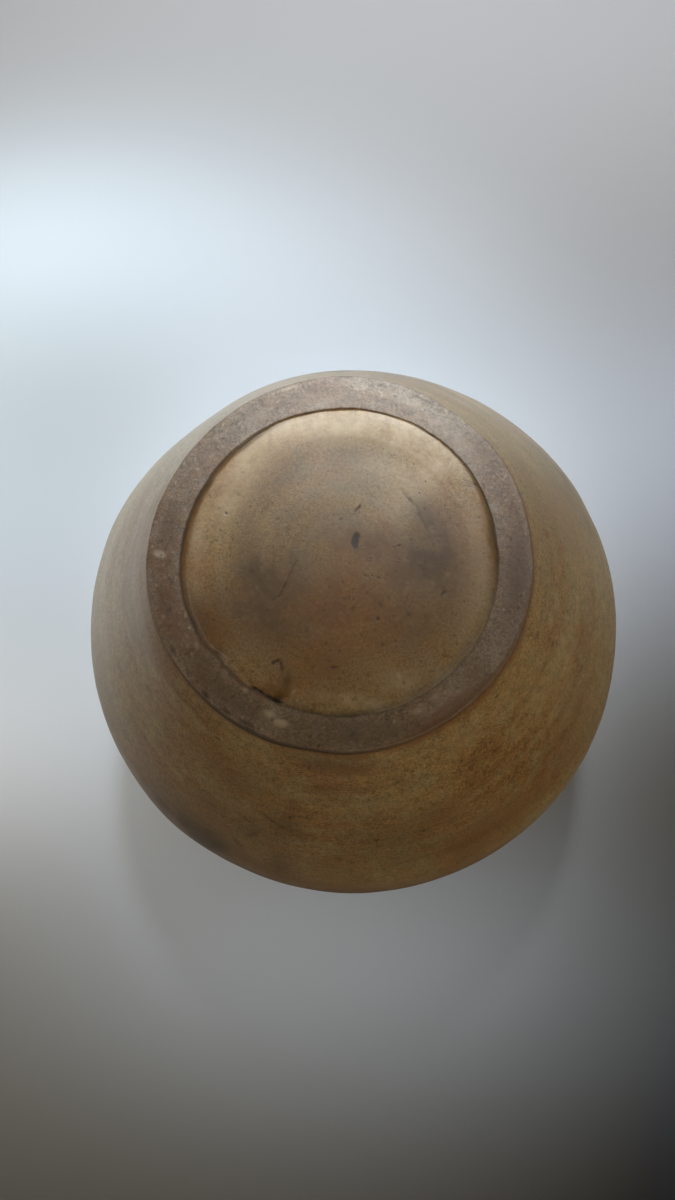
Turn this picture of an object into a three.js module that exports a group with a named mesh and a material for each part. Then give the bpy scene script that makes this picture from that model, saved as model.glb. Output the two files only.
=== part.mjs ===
// Lidless stoneware jar, put together the way a potter does it: a foot ring, a base slab,
// a lower and an upper thrown body, a neck collar and a rolled lip, luted one on the other.
// Millimetres, +Z up. The origin is the centre of the face that the jar stands on.

import * as THREE from 'three';

// Foot ring and base slab
const FOOT_RADIUS = 50; // outer edge of the foot
const FOOT_WIDTH = 9.2; // flat standing band, outer edge to inner edge
const FOOT_HEIGHT = 2.4; // also the depth of the recess under the jar
const FOOT_BEVEL = 0.5; // worn arris on both edges of the band
const SLAB_THICKNESS = 6.4; // floor of the jar
const SLAB_CROWN = 0.4; // how far the recess floor bulges down at its middle

// Body
const WALL = 5.6;
const BELLY_RADIUS = 90.2; // widest point
const BELLY_HEIGHT = 89.2; // height of the widest point above the ground
const BELLY_ROUND = 54; // radius of the bend from the flared wall to the upright belly
const FLARE_ANGLE = 24.3; // degrees from upright, where the flared wall runs into that bend
const SHOULDER_RISE = 52; // from the widest point up to the root of the neck
const SHOULDER_SLOPE = 20; // degrees from level, where the shoulder meets the neck
const BELLY_RUN = 30; // how far the belly stays near upright above its widest point
const SHOULDER_RUN = 18; // how far the shoulder keeps its slope outside the neck

// Neck and lip
const NECK_RADIUS = 48; // outside, where it meets the shoulder and the lip
const NECK_WALL = 6;
const NECK_HEIGHT = 8;
const NECK_WAIST = 1; // hollow of the neck's outside between shoulder and lip
const LIP_HEIGHT = 8;
const LIP_OVERHANG = 4.5; // how far the roll stands out past the neck
const LIP_EASE = 2.5; // rounding of the mouth's inner edge

// Lapped seam at the belly
const LAP_HEIGHT = 3; // inner tongue that stops the upper body sliding
const LAP_CLEARANCE = 0.3; // slip joint between tongue and rebate

const SEGMENTS = 72; // facets round the jar
const BODY_STEPS = 9; // points along each half of the body
const SLAB_STEPS = 4;
const ROLL_STEPS = 8;
const EASE_STEPS = 3;

// Levels and radii that follow from the sizes above
const slabTop = FOOT_HEIGHT + SLAB_THICKNESS;
const neckRoot = BELLY_HEIGHT + SHOULDER_RISE;
const lipSeat = neckRoot + NECK_HEIGHT;
const mouthLevel = lipSeat + LIP_HEIGHT;
const footBore = FOOT_RADIUS - FOOT_WIDTH;
const mouthBore = NECK_RADIUS - NECK_WALL;
const lapRadius = BELLY_RADIUS - WALL / 2;
const lapTop = BELLY_HEIGHT + LAP_HEIGHT;

/** Point of a profile: distance from the jar's axis, and height. */
function at(radius, height) {
  return new THREE.Vector2(radius, height);
}

/** Outside of the jar from the top of the foot to the root of the neck. */
function bodyOutside() {
  const flare = THREE.MathUtils.degToRad(FLARE_ANGLE);
  const slope = THREE.MathUtils.degToRad(SHOULDER_SLOPE);
  const foot = at(FOOT_RADIUS, FOOT_HEIGHT);
  const bendCentre = at(BELLY_RADIUS - BELLY_ROUND, BELLY_HEIGHT);
  const bendStart = at(Math.cos(flare), -Math.sin(flare)).multiplyScalar(BELLY_ROUND).add(bendCentre);
  const chord = bendStart.clone().sub(foot);
  const chordAngle = Math.atan2(chord.x, chord.y);
  const pull = chord.length() / 2 / Math.cos(chordAngle - flare);
  const flareEnd = at(Math.sin(flare), Math.cos(flare)).multiplyScalar(-pull).add(bendStart);
  const path = new THREE.Path();
  path.moveTo(foot.x, foot.y);
  path.quadraticCurveTo(flareEnd.x, flareEnd.y, bendStart.x, bendStart.y);
  path.absarc(bendCentre.x, bendCentre.y, BELLY_ROUND, -flare, 0);
  path.bezierCurveTo(
    BELLY_RADIUS,
    BELLY_HEIGHT + BELLY_RUN,
    NECK_RADIUS + SHOULDER_RUN * Math.cos(slope),
    neckRoot - SHOULDER_RUN * Math.sin(slope),
    NECK_RADIUS,
    neckRoot,
  );
  return path;
}

const outline = bodyOutside();

/** Point on the outside of the body, a share of the way along its outline. */
function outside(share) {
  return outline.getPoint(share);
}

/** Point on the inside of the body, one wall thickness square to the outside. */
function inside(share) {
  const along = outline.getTangent(share);
  return outline.getPoint(share).add(at(-along.y, along.x).multiplyScalar(WALL));
}

/** Share of the way along a side of the body at which it passes a height. */
function shareAtHeight(side, height) {
  let low = 0;
  let high = 1;
  while (high - low > 1e-9) {
    const middle = (low + high) / 2;
    if (side(middle).y < height) low = middle;
    else high = middle;
  }
  return low;
}

/** Points along a side of the body between two heights, both ends included. */
function stretch(side, fromHeight, toHeight) {
  const from = shareAtHeight(side, fromHeight);
  const to = shareAtHeight(side, toHeight);
  const points = [];
  for (let i = 0; i <= BODY_STEPS; i++) {
    points.push(side(THREE.MathUtils.lerp(from, to, i / BODY_STEPS)));
  }
  points[0].y = fromHeight;
  points[BODY_STEPS].y = toHeight;
  return points;
}

/** Points along a side of the body from a height to the root of the neck. */
function stretchToNeck(side, fromHeight) {
  const from = shareAtHeight(side, fromHeight);
  const points = [];
  for (let i = 0; i <= BODY_STEPS; i++) {
    points.push(side(THREE.MathUtils.lerp(from, 1, i / BODY_STEPS)));
  }
  points[0].y = fromHeight;
  return points;
}

/** A piece turned about the jar's axis from its section, outside going up. */
function turned(name, section, material) {
  const geometry = new THREE.LatheGeometry(section, SEGMENTS);
  geometry.rotateX(Math.PI / 2);
  const mesh = new THREE.Mesh(geometry, material);
  mesh.name = name;
  return mesh;
}

/** Section that closes on its first point. */
function closed(points) {
  return [...points, points[0].clone()];
}

/** Flat band of bare clay that the jar stands on. */
function footRing(material) {
  const section = closed([
    at(footBore + FOOT_BEVEL, 0),
    at(FOOT_RADIUS - FOOT_BEVEL, 0),
    at(FOOT_RADIUS, FOOT_BEVEL),
    at(FOOT_RADIUS, FOOT_HEIGHT),
    at(footBore, FOOT_HEIGHT),
    at(footBore, FOOT_BEVEL),
  ]);
  return turned('foot_ring', section, material);
}

/** Round slab that is the floor of the jar, slightly crowned where the foot ring leaves it bare. */
function baseSlab(material) {
  const section = [];
  for (let i = 0; i <= SLAB_STEPS; i++) {
    const radius = (footBore * i) / SLAB_STEPS;
    const fall = SLAB_CROWN * (1 - (radius / footBore) ** 2);
    section.push(at(radius, FOOT_HEIGHT - fall));
  }
  section.push(outside(0));
  section.push(at(outside(shareAtHeight(outside, slabTop)).x, slabTop));
  section.push(at(0, slabTop));
  return turned('base_slab', section, material);
}

/** Flared bowl from the slab to the widest point, with the inner tongue of the belly seam. */
function lowerBody(material) {
  const outer = stretch(outside, slabTop, BELLY_HEIGHT);
  const inner = stretch(inside, slabTop, lapTop).reverse();
  const section = closed([...outer, at(lapRadius, BELLY_HEIGHT), at(lapRadius, lapTop), ...inner]);
  return turned('lower_body', section, material);
}

/** Shoulder from the widest point in to the neck, rebated over the tongue of the lower body. */
function upperBody(material) {
  const slope = THREE.MathUtils.degToRad(SHOULDER_SLOPE);
  const rebate = lapRadius + LAP_CLEARANCE;
  const outer = stretchToNeck(outside, BELLY_HEIGHT);
  const inner = stretchToNeck(inside, lapTop).reverse();
  const underNeck = inner[0].y + (inner[0].x - mouthBore) * Math.tan(slope);
  const section = closed([
    ...outer,
    at(mouthBore, neckRoot),
    at(mouthBore, underNeck),
    ...inner,
    at(rebate, lapTop),
    at(rebate, BELLY_HEIGHT),
  ]);
  return turned('upper_body', section, material);
}

/** Short upright neck, a little waisted outside. */
function neckCollar(material) {
  const section = closed([
    at(mouthBore, neckRoot),
    at(NECK_RADIUS, neckRoot),
    at(NECK_RADIUS - NECK_WAIST, neckRoot + NECK_HEIGHT / 3),
    at(NECK_RADIUS - NECK_WAIST, lipSeat - NECK_HEIGHT / 3),
    at(NECK_RADIUS, lipSeat),
    at(mouthBore, lipSeat),
  ]);
  return turned('neck_collar', section, material);
}

/** Rolled lip: a half-round roll outside, a flat top, and an eased inner edge. */
function rolledLip(material) {
  const roll = new THREE.EllipseCurve(
    NECK_RADIUS,
    lipSeat + LIP_HEIGHT / 2,
    LIP_OVERHANG,
    LIP_HEIGHT / 2,
    -Math.PI / 2,
    Math.PI / 2,
  );
  const ease = new THREE.EllipseCurve(
    mouthBore + LIP_EASE,
    mouthLevel - LIP_EASE,
    LIP_EASE,
    LIP_EASE,
    Math.PI / 2,
    Math.PI,
  );
  const section = closed([at(mouthBore, lipSeat), ...roll.getPoints(ROLL_STEPS), ...ease.getPoints(EASE_STEPS)]);
  return turned('rolled_lip', section, material);
}

const bareClay = new THREE.MeshStandardMaterial({ color: 0x8b7d70, roughness: 0.92, metalness: 0 });
const thinGlaze = new THREE.MeshStandardMaterial({ color: 0xa18863, roughness: 0.55, metalness: 0 });
const bodyGlaze = new THREE.MeshStandardMaterial({ color: 0x9a815c, roughness: 0.45, metalness: 0 });

const jar = new THREE.Group();
jar.add(footRing(bareClay));
jar.add(baseSlab(thinGlaze));
jar.add(lowerBody(bodyGlaze));
jar.add(upperBody(bodyGlaze));
jar.add(neckCollar(bodyGlaze));
jar.add(rolledLip(bodyGlaze));

export default jar;
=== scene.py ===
"""Looks of a lidless stoneware jar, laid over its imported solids.

Metres, +Z up, with the origin at the middle of the face that the jar stands on. Six luted
clay sections are turned again as fine meshes with the wear, turning lines and stains of a
hand-made pot. The jar is seen from below, standing on its mouth on a pale sheet.
"""

import logging
import math
from dataclasses import dataclass, field
from enum import Enum
from functools import reduce
from itertools import product
from typing import ClassVar

import bpy
import numpy as np
from mathutils import Matrix, Vector


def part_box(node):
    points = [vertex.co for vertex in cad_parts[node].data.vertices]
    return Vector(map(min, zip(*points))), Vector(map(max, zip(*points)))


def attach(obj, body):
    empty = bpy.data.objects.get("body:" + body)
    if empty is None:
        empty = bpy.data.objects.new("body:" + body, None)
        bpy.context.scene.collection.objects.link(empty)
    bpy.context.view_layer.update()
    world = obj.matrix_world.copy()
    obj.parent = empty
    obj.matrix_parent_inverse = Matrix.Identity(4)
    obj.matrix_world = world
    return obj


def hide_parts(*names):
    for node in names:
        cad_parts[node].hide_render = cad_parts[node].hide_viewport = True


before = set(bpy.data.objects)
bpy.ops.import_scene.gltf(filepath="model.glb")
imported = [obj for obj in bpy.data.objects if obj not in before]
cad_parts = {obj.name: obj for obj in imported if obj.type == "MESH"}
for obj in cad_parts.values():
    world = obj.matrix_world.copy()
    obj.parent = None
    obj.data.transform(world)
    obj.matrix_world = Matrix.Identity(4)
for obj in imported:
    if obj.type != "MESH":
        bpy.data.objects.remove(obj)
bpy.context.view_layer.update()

TURN = 2 * math.pi
MM = 0.001
WALL_SLANT = 1.15  # metres along the wall for each metre of height
log = logging.getLogger("jar")

Colour = tuple[float, float, float]


def tone(code: str) -> Colour:
    """Linear red, green and blue of an sRGB hex code."""
    shares = [int(code[i : i + 2], 16) / 255 for i in (0, 2, 4)]
    return tuple(c / 12.92 if c <= 0.04045 else ((c + 0.055) / 1.055) ** 2.4 for c in shares)


def ease(low: float, high: float, value: np.ndarray) -> np.ndarray:
    """Smooth step from 0 at low to 1 at high, which may be less than low."""
    share = np.clip((value - low) / (high - low), 0, 1)
    return share * share * (3 - 2 * share)


def graded(count: int) -> np.ndarray:
    """Shares from 0 to 1, a given number of them, that lie closer together near both ends."""
    even = np.linspace(0, 1, count)
    return even / 2 + (1 - np.cos(math.pi * even)) / 4


def angles(columns: int) -> np.ndarray:
    """Even angles round the jar in radians, as one row."""
    return np.arange(columns)[None, :] * TURN / columns


def degrees_from(angle: np.ndarray, middle: float) -> np.ndarray:
    """Degrees from a middle, also in degrees, to angles in radians, from -180 to 180."""
    return (np.degrees(angle) - middle + 180) % 360 - 180


def push_out(points: np.ndarray, angle: np.ndarray, amount: np.ndarray) -> None:
    """Moves points away from the jar's axis by an amount in metres."""
    points[..., 0] += amount * np.cos(angle)
    points[..., 1] += amount * np.sin(angle)


def polar(degrees: float, radius: float) -> tuple[float, float]:
    """X and Y of a place given by its angle and its distance from the axis."""
    turn = math.radians(degrees)
    return radius * math.cos(turn), radius * math.sin(turn)


class Trace(Enum):
    """What use and firing have left on the surface, with some painted shade and highlight, one mesh
    attribute each.
    """

    ALONG = "along"  # metres along the section, for the turning lines
    GRIME_AND_SHADE = "grime_and_shade"  # grey handling dirt, and painted shade on the ring's right and near sides and on the wall
    STAIN_AND_SHADE = "stain"  # reddish brown glaze stain, and painted shade on the lower wall's near side and the ring's right side
    RUST = "rust"  # orange brown glaze edge
    PALE = "pale"  # thin or rubbed glaze, grit and chips, and a painted highlight on the far side of the ring and the recess
    DARK = "dark"  # iron spots, scratches, dirt, and painted shade in corners, along edges and under the lip


@dataclass
class ClayNoise:
    """Smooth noise from -1 to 1 on a repeating lattice, the same on every run."""

    seed: int
    cells: int = 32
    values: np.ndarray = field(init=False)

    def __post_init__(self) -> None:
        """Fills the lattice from the seed."""
        self.values = np.random.default_rng(self.seed).uniform(-1, 1, (self.cells,) * 3)

    def at(self, x: np.ndarray, y: np.ndarray, z: np.ndarray) -> np.ndarray:
        """Reads the noise.

        Args:
            x: First coordinate, in cells.
            y: Second coordinate, in cells.
            z: Third coordinate, in cells.

        Returns:
            Values in the coordinates' common shape.
        """
        place = np.stack(np.broadcast_arrays(x, y, z)).astype(float)
        base = np.floor(place).astype(int)
        share = place - base
        share = share * share * (3 - 2 * share)
        total = np.zeros(place.shape[1:])
        for corner in product((0, 1), repeat=3):
            index = [(base[i] + corner[i]) % self.cells for i in range(3)]
            weight = np.ones_like(total)
            for i in range(3):
                weight *= share[i] if corner[i] else 1 - share[i]
            total += weight * self.values[tuple(index)]
        return total

    def layered(self, points: np.ndarray, size: float, layers: int = 3) -> np.ndarray:
        """Noise in 3-D space, each layer half the size and half the strength of the last.

        Args:
            points: Positions, with the three coordinates last.
            size: Metres across a cell of the first layer.
            layers: How many layers.

        Returns:
            One value a position.
        """
        total = 0.0
        for layer in range(layers):
            scaled = points * (2**layer / size) + 7.3 * layer
            total = total + self.at(scaled[..., 0], scaled[..., 1], scaled[..., 2]) / 2**layer
        return total

    def rings(self, angle: np.ndarray, along: np.ndarray, pitch: float, drift: float) -> np.ndarray:
        """Noise in lines round the jar, pitch metres apart, that change with drift on their way."""
        return self.at(along / pitch, 9 + drift * np.cos(angle), 17 + drift * np.sin(angle))

    def around(self, angle: np.ndarray, reach: float, level: np.ndarray | float) -> np.ndarray:
        """Noise on a circle round the axis: its radius and its level are in cells."""
        return self.at(reach * np.cos(angle), reach * np.sin(angle), level)


@dataclass(frozen=True)
class Lobe:
    """A place where the jar stands in or out of the true circle."""

    angle: float  # degrees round the jar
    spread: float  # degrees
    depth: float = 1.0  # metres outwards, or how much of something there is


def out_of_round(lobes: tuple[Lobe, ...], angle: np.ndarray) -> np.ndarray:
    """How far a jar with these lobes stands out of the true circle.

    Args:
        lobes: The places. Where a finish uses them, their depth is a strength or a width.
        angle: Radians round the jar.

    Returns:
        The depths, added up at each angle.
    """
    total = np.zeros_like(angle)
    for lobe in lobes:
        total += lobe.depth * np.exp(-((degrees_from(angle, lobe.angle) / lobe.spread) ** 2))
    return total


@dataclass(frozen=True)
class Mark:
    """A located mark: on a flat skin at x and y, on a wall at an angle and a height."""

    trace: Trace
    x: float  # metres, or degrees round the jar
    y: float  # metres, or height in metres
    length: float  # half length
    width: float  # half width
    turn: float  # degrees from +X, or from level, to the length
    strength: float
    hard: float = 0.0  # 0 for a soft smudge, towards 1 for a crisp edge
    sink: float = 0.0  # how deep it is cut or, if negative, stands proud
    unevenness: ClassVar[float] = 0.22  # how far its edge wanders
    fall: ClassVar[float] = 1.4  # how fast a soft smudge fades
    crisp_edge: ClassVar[tuple[float, float]] = (1.25, 0.75)  # where a crisp edge ends and is full

    def cover(self, across: np.ndarray, up: np.ndarray, ragged: np.ndarray) -> np.ndarray:
        """How much of the mark lies on each point.

        Args:
            across: Metres from the mark's middle, in its first direction.
            up: Metres from the mark's middle, in its second direction.
            ragged: Noise that roughens the mark's edge.

        Returns:
            Shares from 0 to 1.
        """
        turn = math.radians(self.turn)
        u = (across * math.cos(turn) + up * math.sin(turn)) / self.length
        v = (up * math.cos(turn) - across * math.sin(turn)) / self.width
        reach = np.sqrt(u * u + v * v) * (1 + self.unevenness * ragged)
        soft = np.exp(-reach * reach * self.fall)
        crisp = ease(*self.crisp_edge, reach)
        return soft * (1 - self.hard) + crisp * self.hard


class Layout(Enum):
    """What the first two numbers of a mark's row say."""

    FLAT = 1  # x and y in millimetres
    RING = 2  # degrees round the jar and millimetres from its axis; the mark turns with the ring
    WALL = 3  # degrees round the jar and millimetres above the ground


def marks_of(trace: Trace, layout: Layout, *rows: tuple[float, ...]) -> list[Mark]:
    """Marks of one trace, each given as a row of numbers.

    Args:
        trace: What they show.
        layout: How their places are given.
        rows: Place, half length, half width, turn, strength and, where they have them,
            hardness and sink. Lengths are in millimetres.

    Returns:
        One mark a row.
    """
    found = []
    for first, second, length, width, turn, strength, *rest in rows:
        hard, sink = (*rest, 0.0, 0.0)[:2]
        x, y = first * MM, second * MM
        if layout is Layout.RING:
            x, y = polar(first, second * MM)
            turn += first + 90
        elif layout is Layout.WALL:
            x = first
        found.append(Mark(trace, x, y, length * MM, width * MM, turn, strength, hard, sink * MM))
    return found


@dataclass
class Canvas:
    """A skin's surface while marks are laid on it."""

    points: np.ndarray
    noise: ClayNoise
    where: np.ndarray  # share of the skin that can take marks
    wall: bool = False
    traces: dict[Trace, np.ndarray] = field(init=False)
    sink: np.ndarray = field(init=False)
    farthest: ClassVar[float] = 2.2  # how far a mark can reach, in its longer half sizes
    edge_grain: ClassVar[float] = 1.3  # size of the noise at a mark's edge, in its half widths
    least_grain: ClassVar[float] = 0.0006
    noise_step: ClassVar[float] = 9.0  # keeps the noise of two marks apart

    def __post_init__(self) -> None:
        """Starts with a clean surface."""
        shape = self.points.shape[:2]
        self.traces = {trace: np.zeros(shape) for trace in Trace}
        self.sink = np.zeros(shape)
        self.where = np.broadcast_to(self.where, shape)

    def offsets(self, mark: Mark) -> tuple[np.ndarray, np.ndarray]:
        """Metres from the mark's middle to every point, in both of its directions.

        Args:
            mark: The mark.

        Returns:
            The distances in its first and in its second direction.
        """
        x = self.points[..., 0]
        y = self.points[..., 1]
        if not self.wall:
            return x - mark.x, y - mark.y
        away = np.radians(degrees_from(np.arctan2(y, x), mark.x))
        return away * np.hypot(x, y), (self.points[..., 2] - mark.y) * WALL_SLANT

    def lay(self, mark: Mark) -> None:
        """Adds a mark to its trace and to the relief.

        Args:
            mark: The mark.
        """
        across, up = self.offsets(mark)
        reach = self.farthest * max(mark.length, mark.width)
        near = (np.abs(across) < reach) & (np.abs(up) < reach)
        if not near.any():
            return
        scaled = self.points[near] / max(mark.width * self.edge_grain, self.least_grain)
        ragged = self.noise.at(scaled[:, 0], scaled[:, 1], scaled[:, 2] + mark.x * self.noise_step)
        cover = mark.cover(across[near], up[near], ragged) * self.where[near]
        held = self.traces[mark.trace][near]
        self.traces[mark.trace][near] = held + (1 - held) * cover * mark.strength
        self.sink[near] += cover * mark.sink

    def cover(self, trace: Trace, amount: np.ndarray) -> None:
        """Brings a trace up to an amount where it is less."""
        self.traces[trace] = np.maximum(self.traces[trace], amount)

    def deepen(self, trace: Trace, amount: np.ndarray) -> None:
        """Adds an amount to a trace, up to 1."""
        self.traces[trace] = np.clip(self.traces[trace] + amount, 0, 1)


@dataclass
class JarSizes:
    """Sizes of the jar in metres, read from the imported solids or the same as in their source."""

    wall: float = 0.0056
    bore: float = 0.0408  # inside of the foot ring
    mouth_bore: float = 0.042
    slab_crown: float = 0.0004
    belly_round: float = 0.054
    flare: float = math.radians(24.3)
    shoulder_slope: float = math.radians(20)
    belly_run: float = 0.030
    shoulder_run: float = 0.018
    neck_waist: float = 0.001
    lip_ease: float = 0.0025
    foot_radius: float = field(init=False)
    foot_height: float = field(init=False)
    slab_top: float = field(init=False)
    belly_radius: float = field(init=False)
    belly_height: float = field(init=False)
    neck_root: float = field(init=False)
    neck_radius: float = field(init=False)
    lip_seat: float = field(init=False)
    lip_radius: float = field(init=False)
    mouth_level: float = field(init=False)

    def __post_init__(self) -> None:
        """Reads the levels and radii from the frame."""
        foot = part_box("foot_ring")[1]
        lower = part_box("lower_body")[1]
        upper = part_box("upper_body")
        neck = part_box("neck_collar")[1]
        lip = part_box("rolled_lip")[1]
        self.foot_radius = foot.x
        self.foot_height = foot.z
        self.slab_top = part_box("base_slab")[1].z
        self.belly_radius = lower.x
        self.belly_height = upper[0].z
        self.neck_root = upper[1].z
        self.neck_radius = neck.x
        self.lip_seat = neck.z
        self.lip_radius = lip.x
        self.mouth_level = lip.z


@dataclass
class Run:
    """Rows of a section: radius and height, which way they face, and metres along."""

    section: np.ndarray
    facing: np.ndarray
    along: np.ndarray

    @classmethod
    def through(cls, section: np.ndarray) -> "Run":
        """A run whose facing and length come from its own points, clay on the left.

        Args:
            section: Radius and height of each row.

        Returns:
            The run.
        """
        step = np.diff(section, axis=0)
        along = np.concatenate([[0], np.cumsum(np.hypot(step[:, 0], step[:, 1]))])
        tangent = np.gradient(section, axis=0)
        tangent /= np.maximum(np.hypot(tangent[:, 0], tangent[:, 1]), 1e-12)[:, None]
        return cls(section, np.stack([tangent[:, 1], -tangent[:, 0]], axis=1), along)

    def rows(self, heights: tuple[float, float], count: int) -> "Run":
        """A stretch of the run, closer together at both ends.

        Args:
            heights: Heights of its first and last row.
            count: How many rows.

        Returns:
            The stretch.
        """
        ends = np.interp(heights, self.section[:, 1], self.along)
        along = ends[0] + (ends[1] - ends[0]) * graded(count)
        section = np.stack([np.interp(along, self.along, self.section[:, i]) for i in (0, 1)], 1)
        facing = np.stack([np.interp(along, self.along, self.facing[:, i]) for i in (0, 1)], 1)
        return Run(section, facing, along)


@dataclass
class Outline:
    """The jar's side from the top of the foot to the root of the neck, outside and inside."""

    sizes: JarSizes
    steps: int = 900
    outer: Run = field(init=False)

    def __post_init__(self) -> None:
        """Draws the outside as a curve, an arc and a curve, and measures along it."""
        s = self.sizes
        share = np.linspace(0, 1, self.steps)[:, None]
        foot = np.array([s.foot_radius, s.foot_height])
        centre = np.array([s.belly_radius - s.belly_round, s.belly_height])
        bend = centre + s.belly_round * np.array([math.cos(s.flare), -math.sin(s.flare)])
        chord = bend - foot
        lean = math.atan2(chord[0], chord[1])
        pull = np.hypot(*chord) / 2 / math.cos(lean - s.flare)
        knee = bend - pull * np.array([math.sin(s.flare), math.cos(s.flare)])
        flared = (1 - share) ** 2 * foot + 2 * share * (1 - share) * knee + share**2 * bend
        sweep = s.flare * (share - 1)
        belly_bend = centre + s.belly_round * np.hstack([np.cos(sweep), np.sin(sweep)])
        top = np.array([s.neck_radius, s.neck_root])
        first = np.array([s.belly_radius, s.belly_height + s.belly_run])
        slope = np.array([math.cos(s.shoulder_slope), -math.sin(s.shoulder_slope)])
        second = top + s.shoulder_run * slope
        belly = np.array([s.belly_radius, s.belly_height])
        shoulder = (1 - share) ** 3 * belly + 3 * share * (1 - share) ** 2 * first
        shoulder = shoulder + 3 * share**2 * (1 - share) * second + share**3 * top
        self.outer = Run.through(np.vstack([flared[:-1], belly_bend[:-1], shoulder]))

    def run(self, low: float, high: float, count: int) -> Run:
        """Rows up the outside between two heights."""
        return self.outer.rows((low, high), count)

    def lining(self, low: float, high: float, count: int) -> Run:
        """Rows down the inside, one wall thickness square to the outside.

        Args:
            low: Height of the last row.
            high: Height of the first row.
            count: How many rows.

        Returns:
            The rows.
        """
        inner = self.outer.section - self.sizes.wall * self.outer.facing
        keep = inner[:, 0] > self.sizes.mouth_bore
        side = Run(inner[keep], -self.outer.facing[keep], self.outer.along[keep])
        found = side.rows((high, low), count)
        found.section[0, 1] = high
        found.section[-1, 1] = low
        return found


def bent(
    middle: tuple[float, float], reach: tuple[float, float], turns: tuple[float, float], count: int
) -> np.ndarray:
    """Points of a section along an ellipse, from one number of half turns to another."""
    turn = np.linspace(*turns, count) * math.pi
    return np.array(middle) + np.stack([np.cos(turn), np.sin(turn)], 1) * reach


@dataclass(frozen=True)
class Patch:
    """A rectangle of the UV square, for one run of a piece."""

    left: float
    bottom: float
    width: float
    height: float


class Unwrap(Enum):
    """How a run is laid out in its patch."""

    DISC = 1  # as seen along Z
    QUARTERS = 2  # unrolled in four lengths, one above the other


@dataclass
class Skin:
    """One continuous shown surface of a piece, with its points and traces."""

    grid: np.ndarray  # rows, angles, three coordinates
    along: np.ndarray  # metres along each row
    traces: dict[Trace, np.ndarray]
    finish: int  # index of the material
    unwrap: Unwrap
    patch: Patch
    disc_margin: ClassVar[float] = 1.01
    quarter_share: ClassVar[float] = 0.97  # how much of its quarter's height a length fills

    def places(self, row: int) -> tuple[np.ndarray, np.ndarray]:
        """UV places of a row's points as the left and as the right corners of its faces.

        Args:
            row: The row's number.

        Returns:
            Left corners and right corners.
        """
        patch = self.patch
        start = np.array([patch.left, patch.bottom])
        if self.unwrap is Unwrap.DISC:
            reach = np.abs(self.grid[..., :2]).max() * self.disc_margin
            flat = 0.5 + 0.5 * self.grid[row, :, :2] / reach
            spot = start + flat * [patch.width, patch.height]
            return spot, np.roll(spot, -1, axis=0)
        share = abs(float((self.along[row] - self.along[0]) / (self.along[-1] - self.along[0])))
        columns = self.grid.shape[1]
        column = np.arange(columns)
        quarter = column * 4 // columns
        across = (column - quarter * columns // 4) * 4 / columns
        up = (quarter + self.quarter_share * share) / 4
        left = start + np.stack([patch.width * across, patch.height * up], 1)
        return left, left + [patch.width * 4 / columns, 0]


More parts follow.
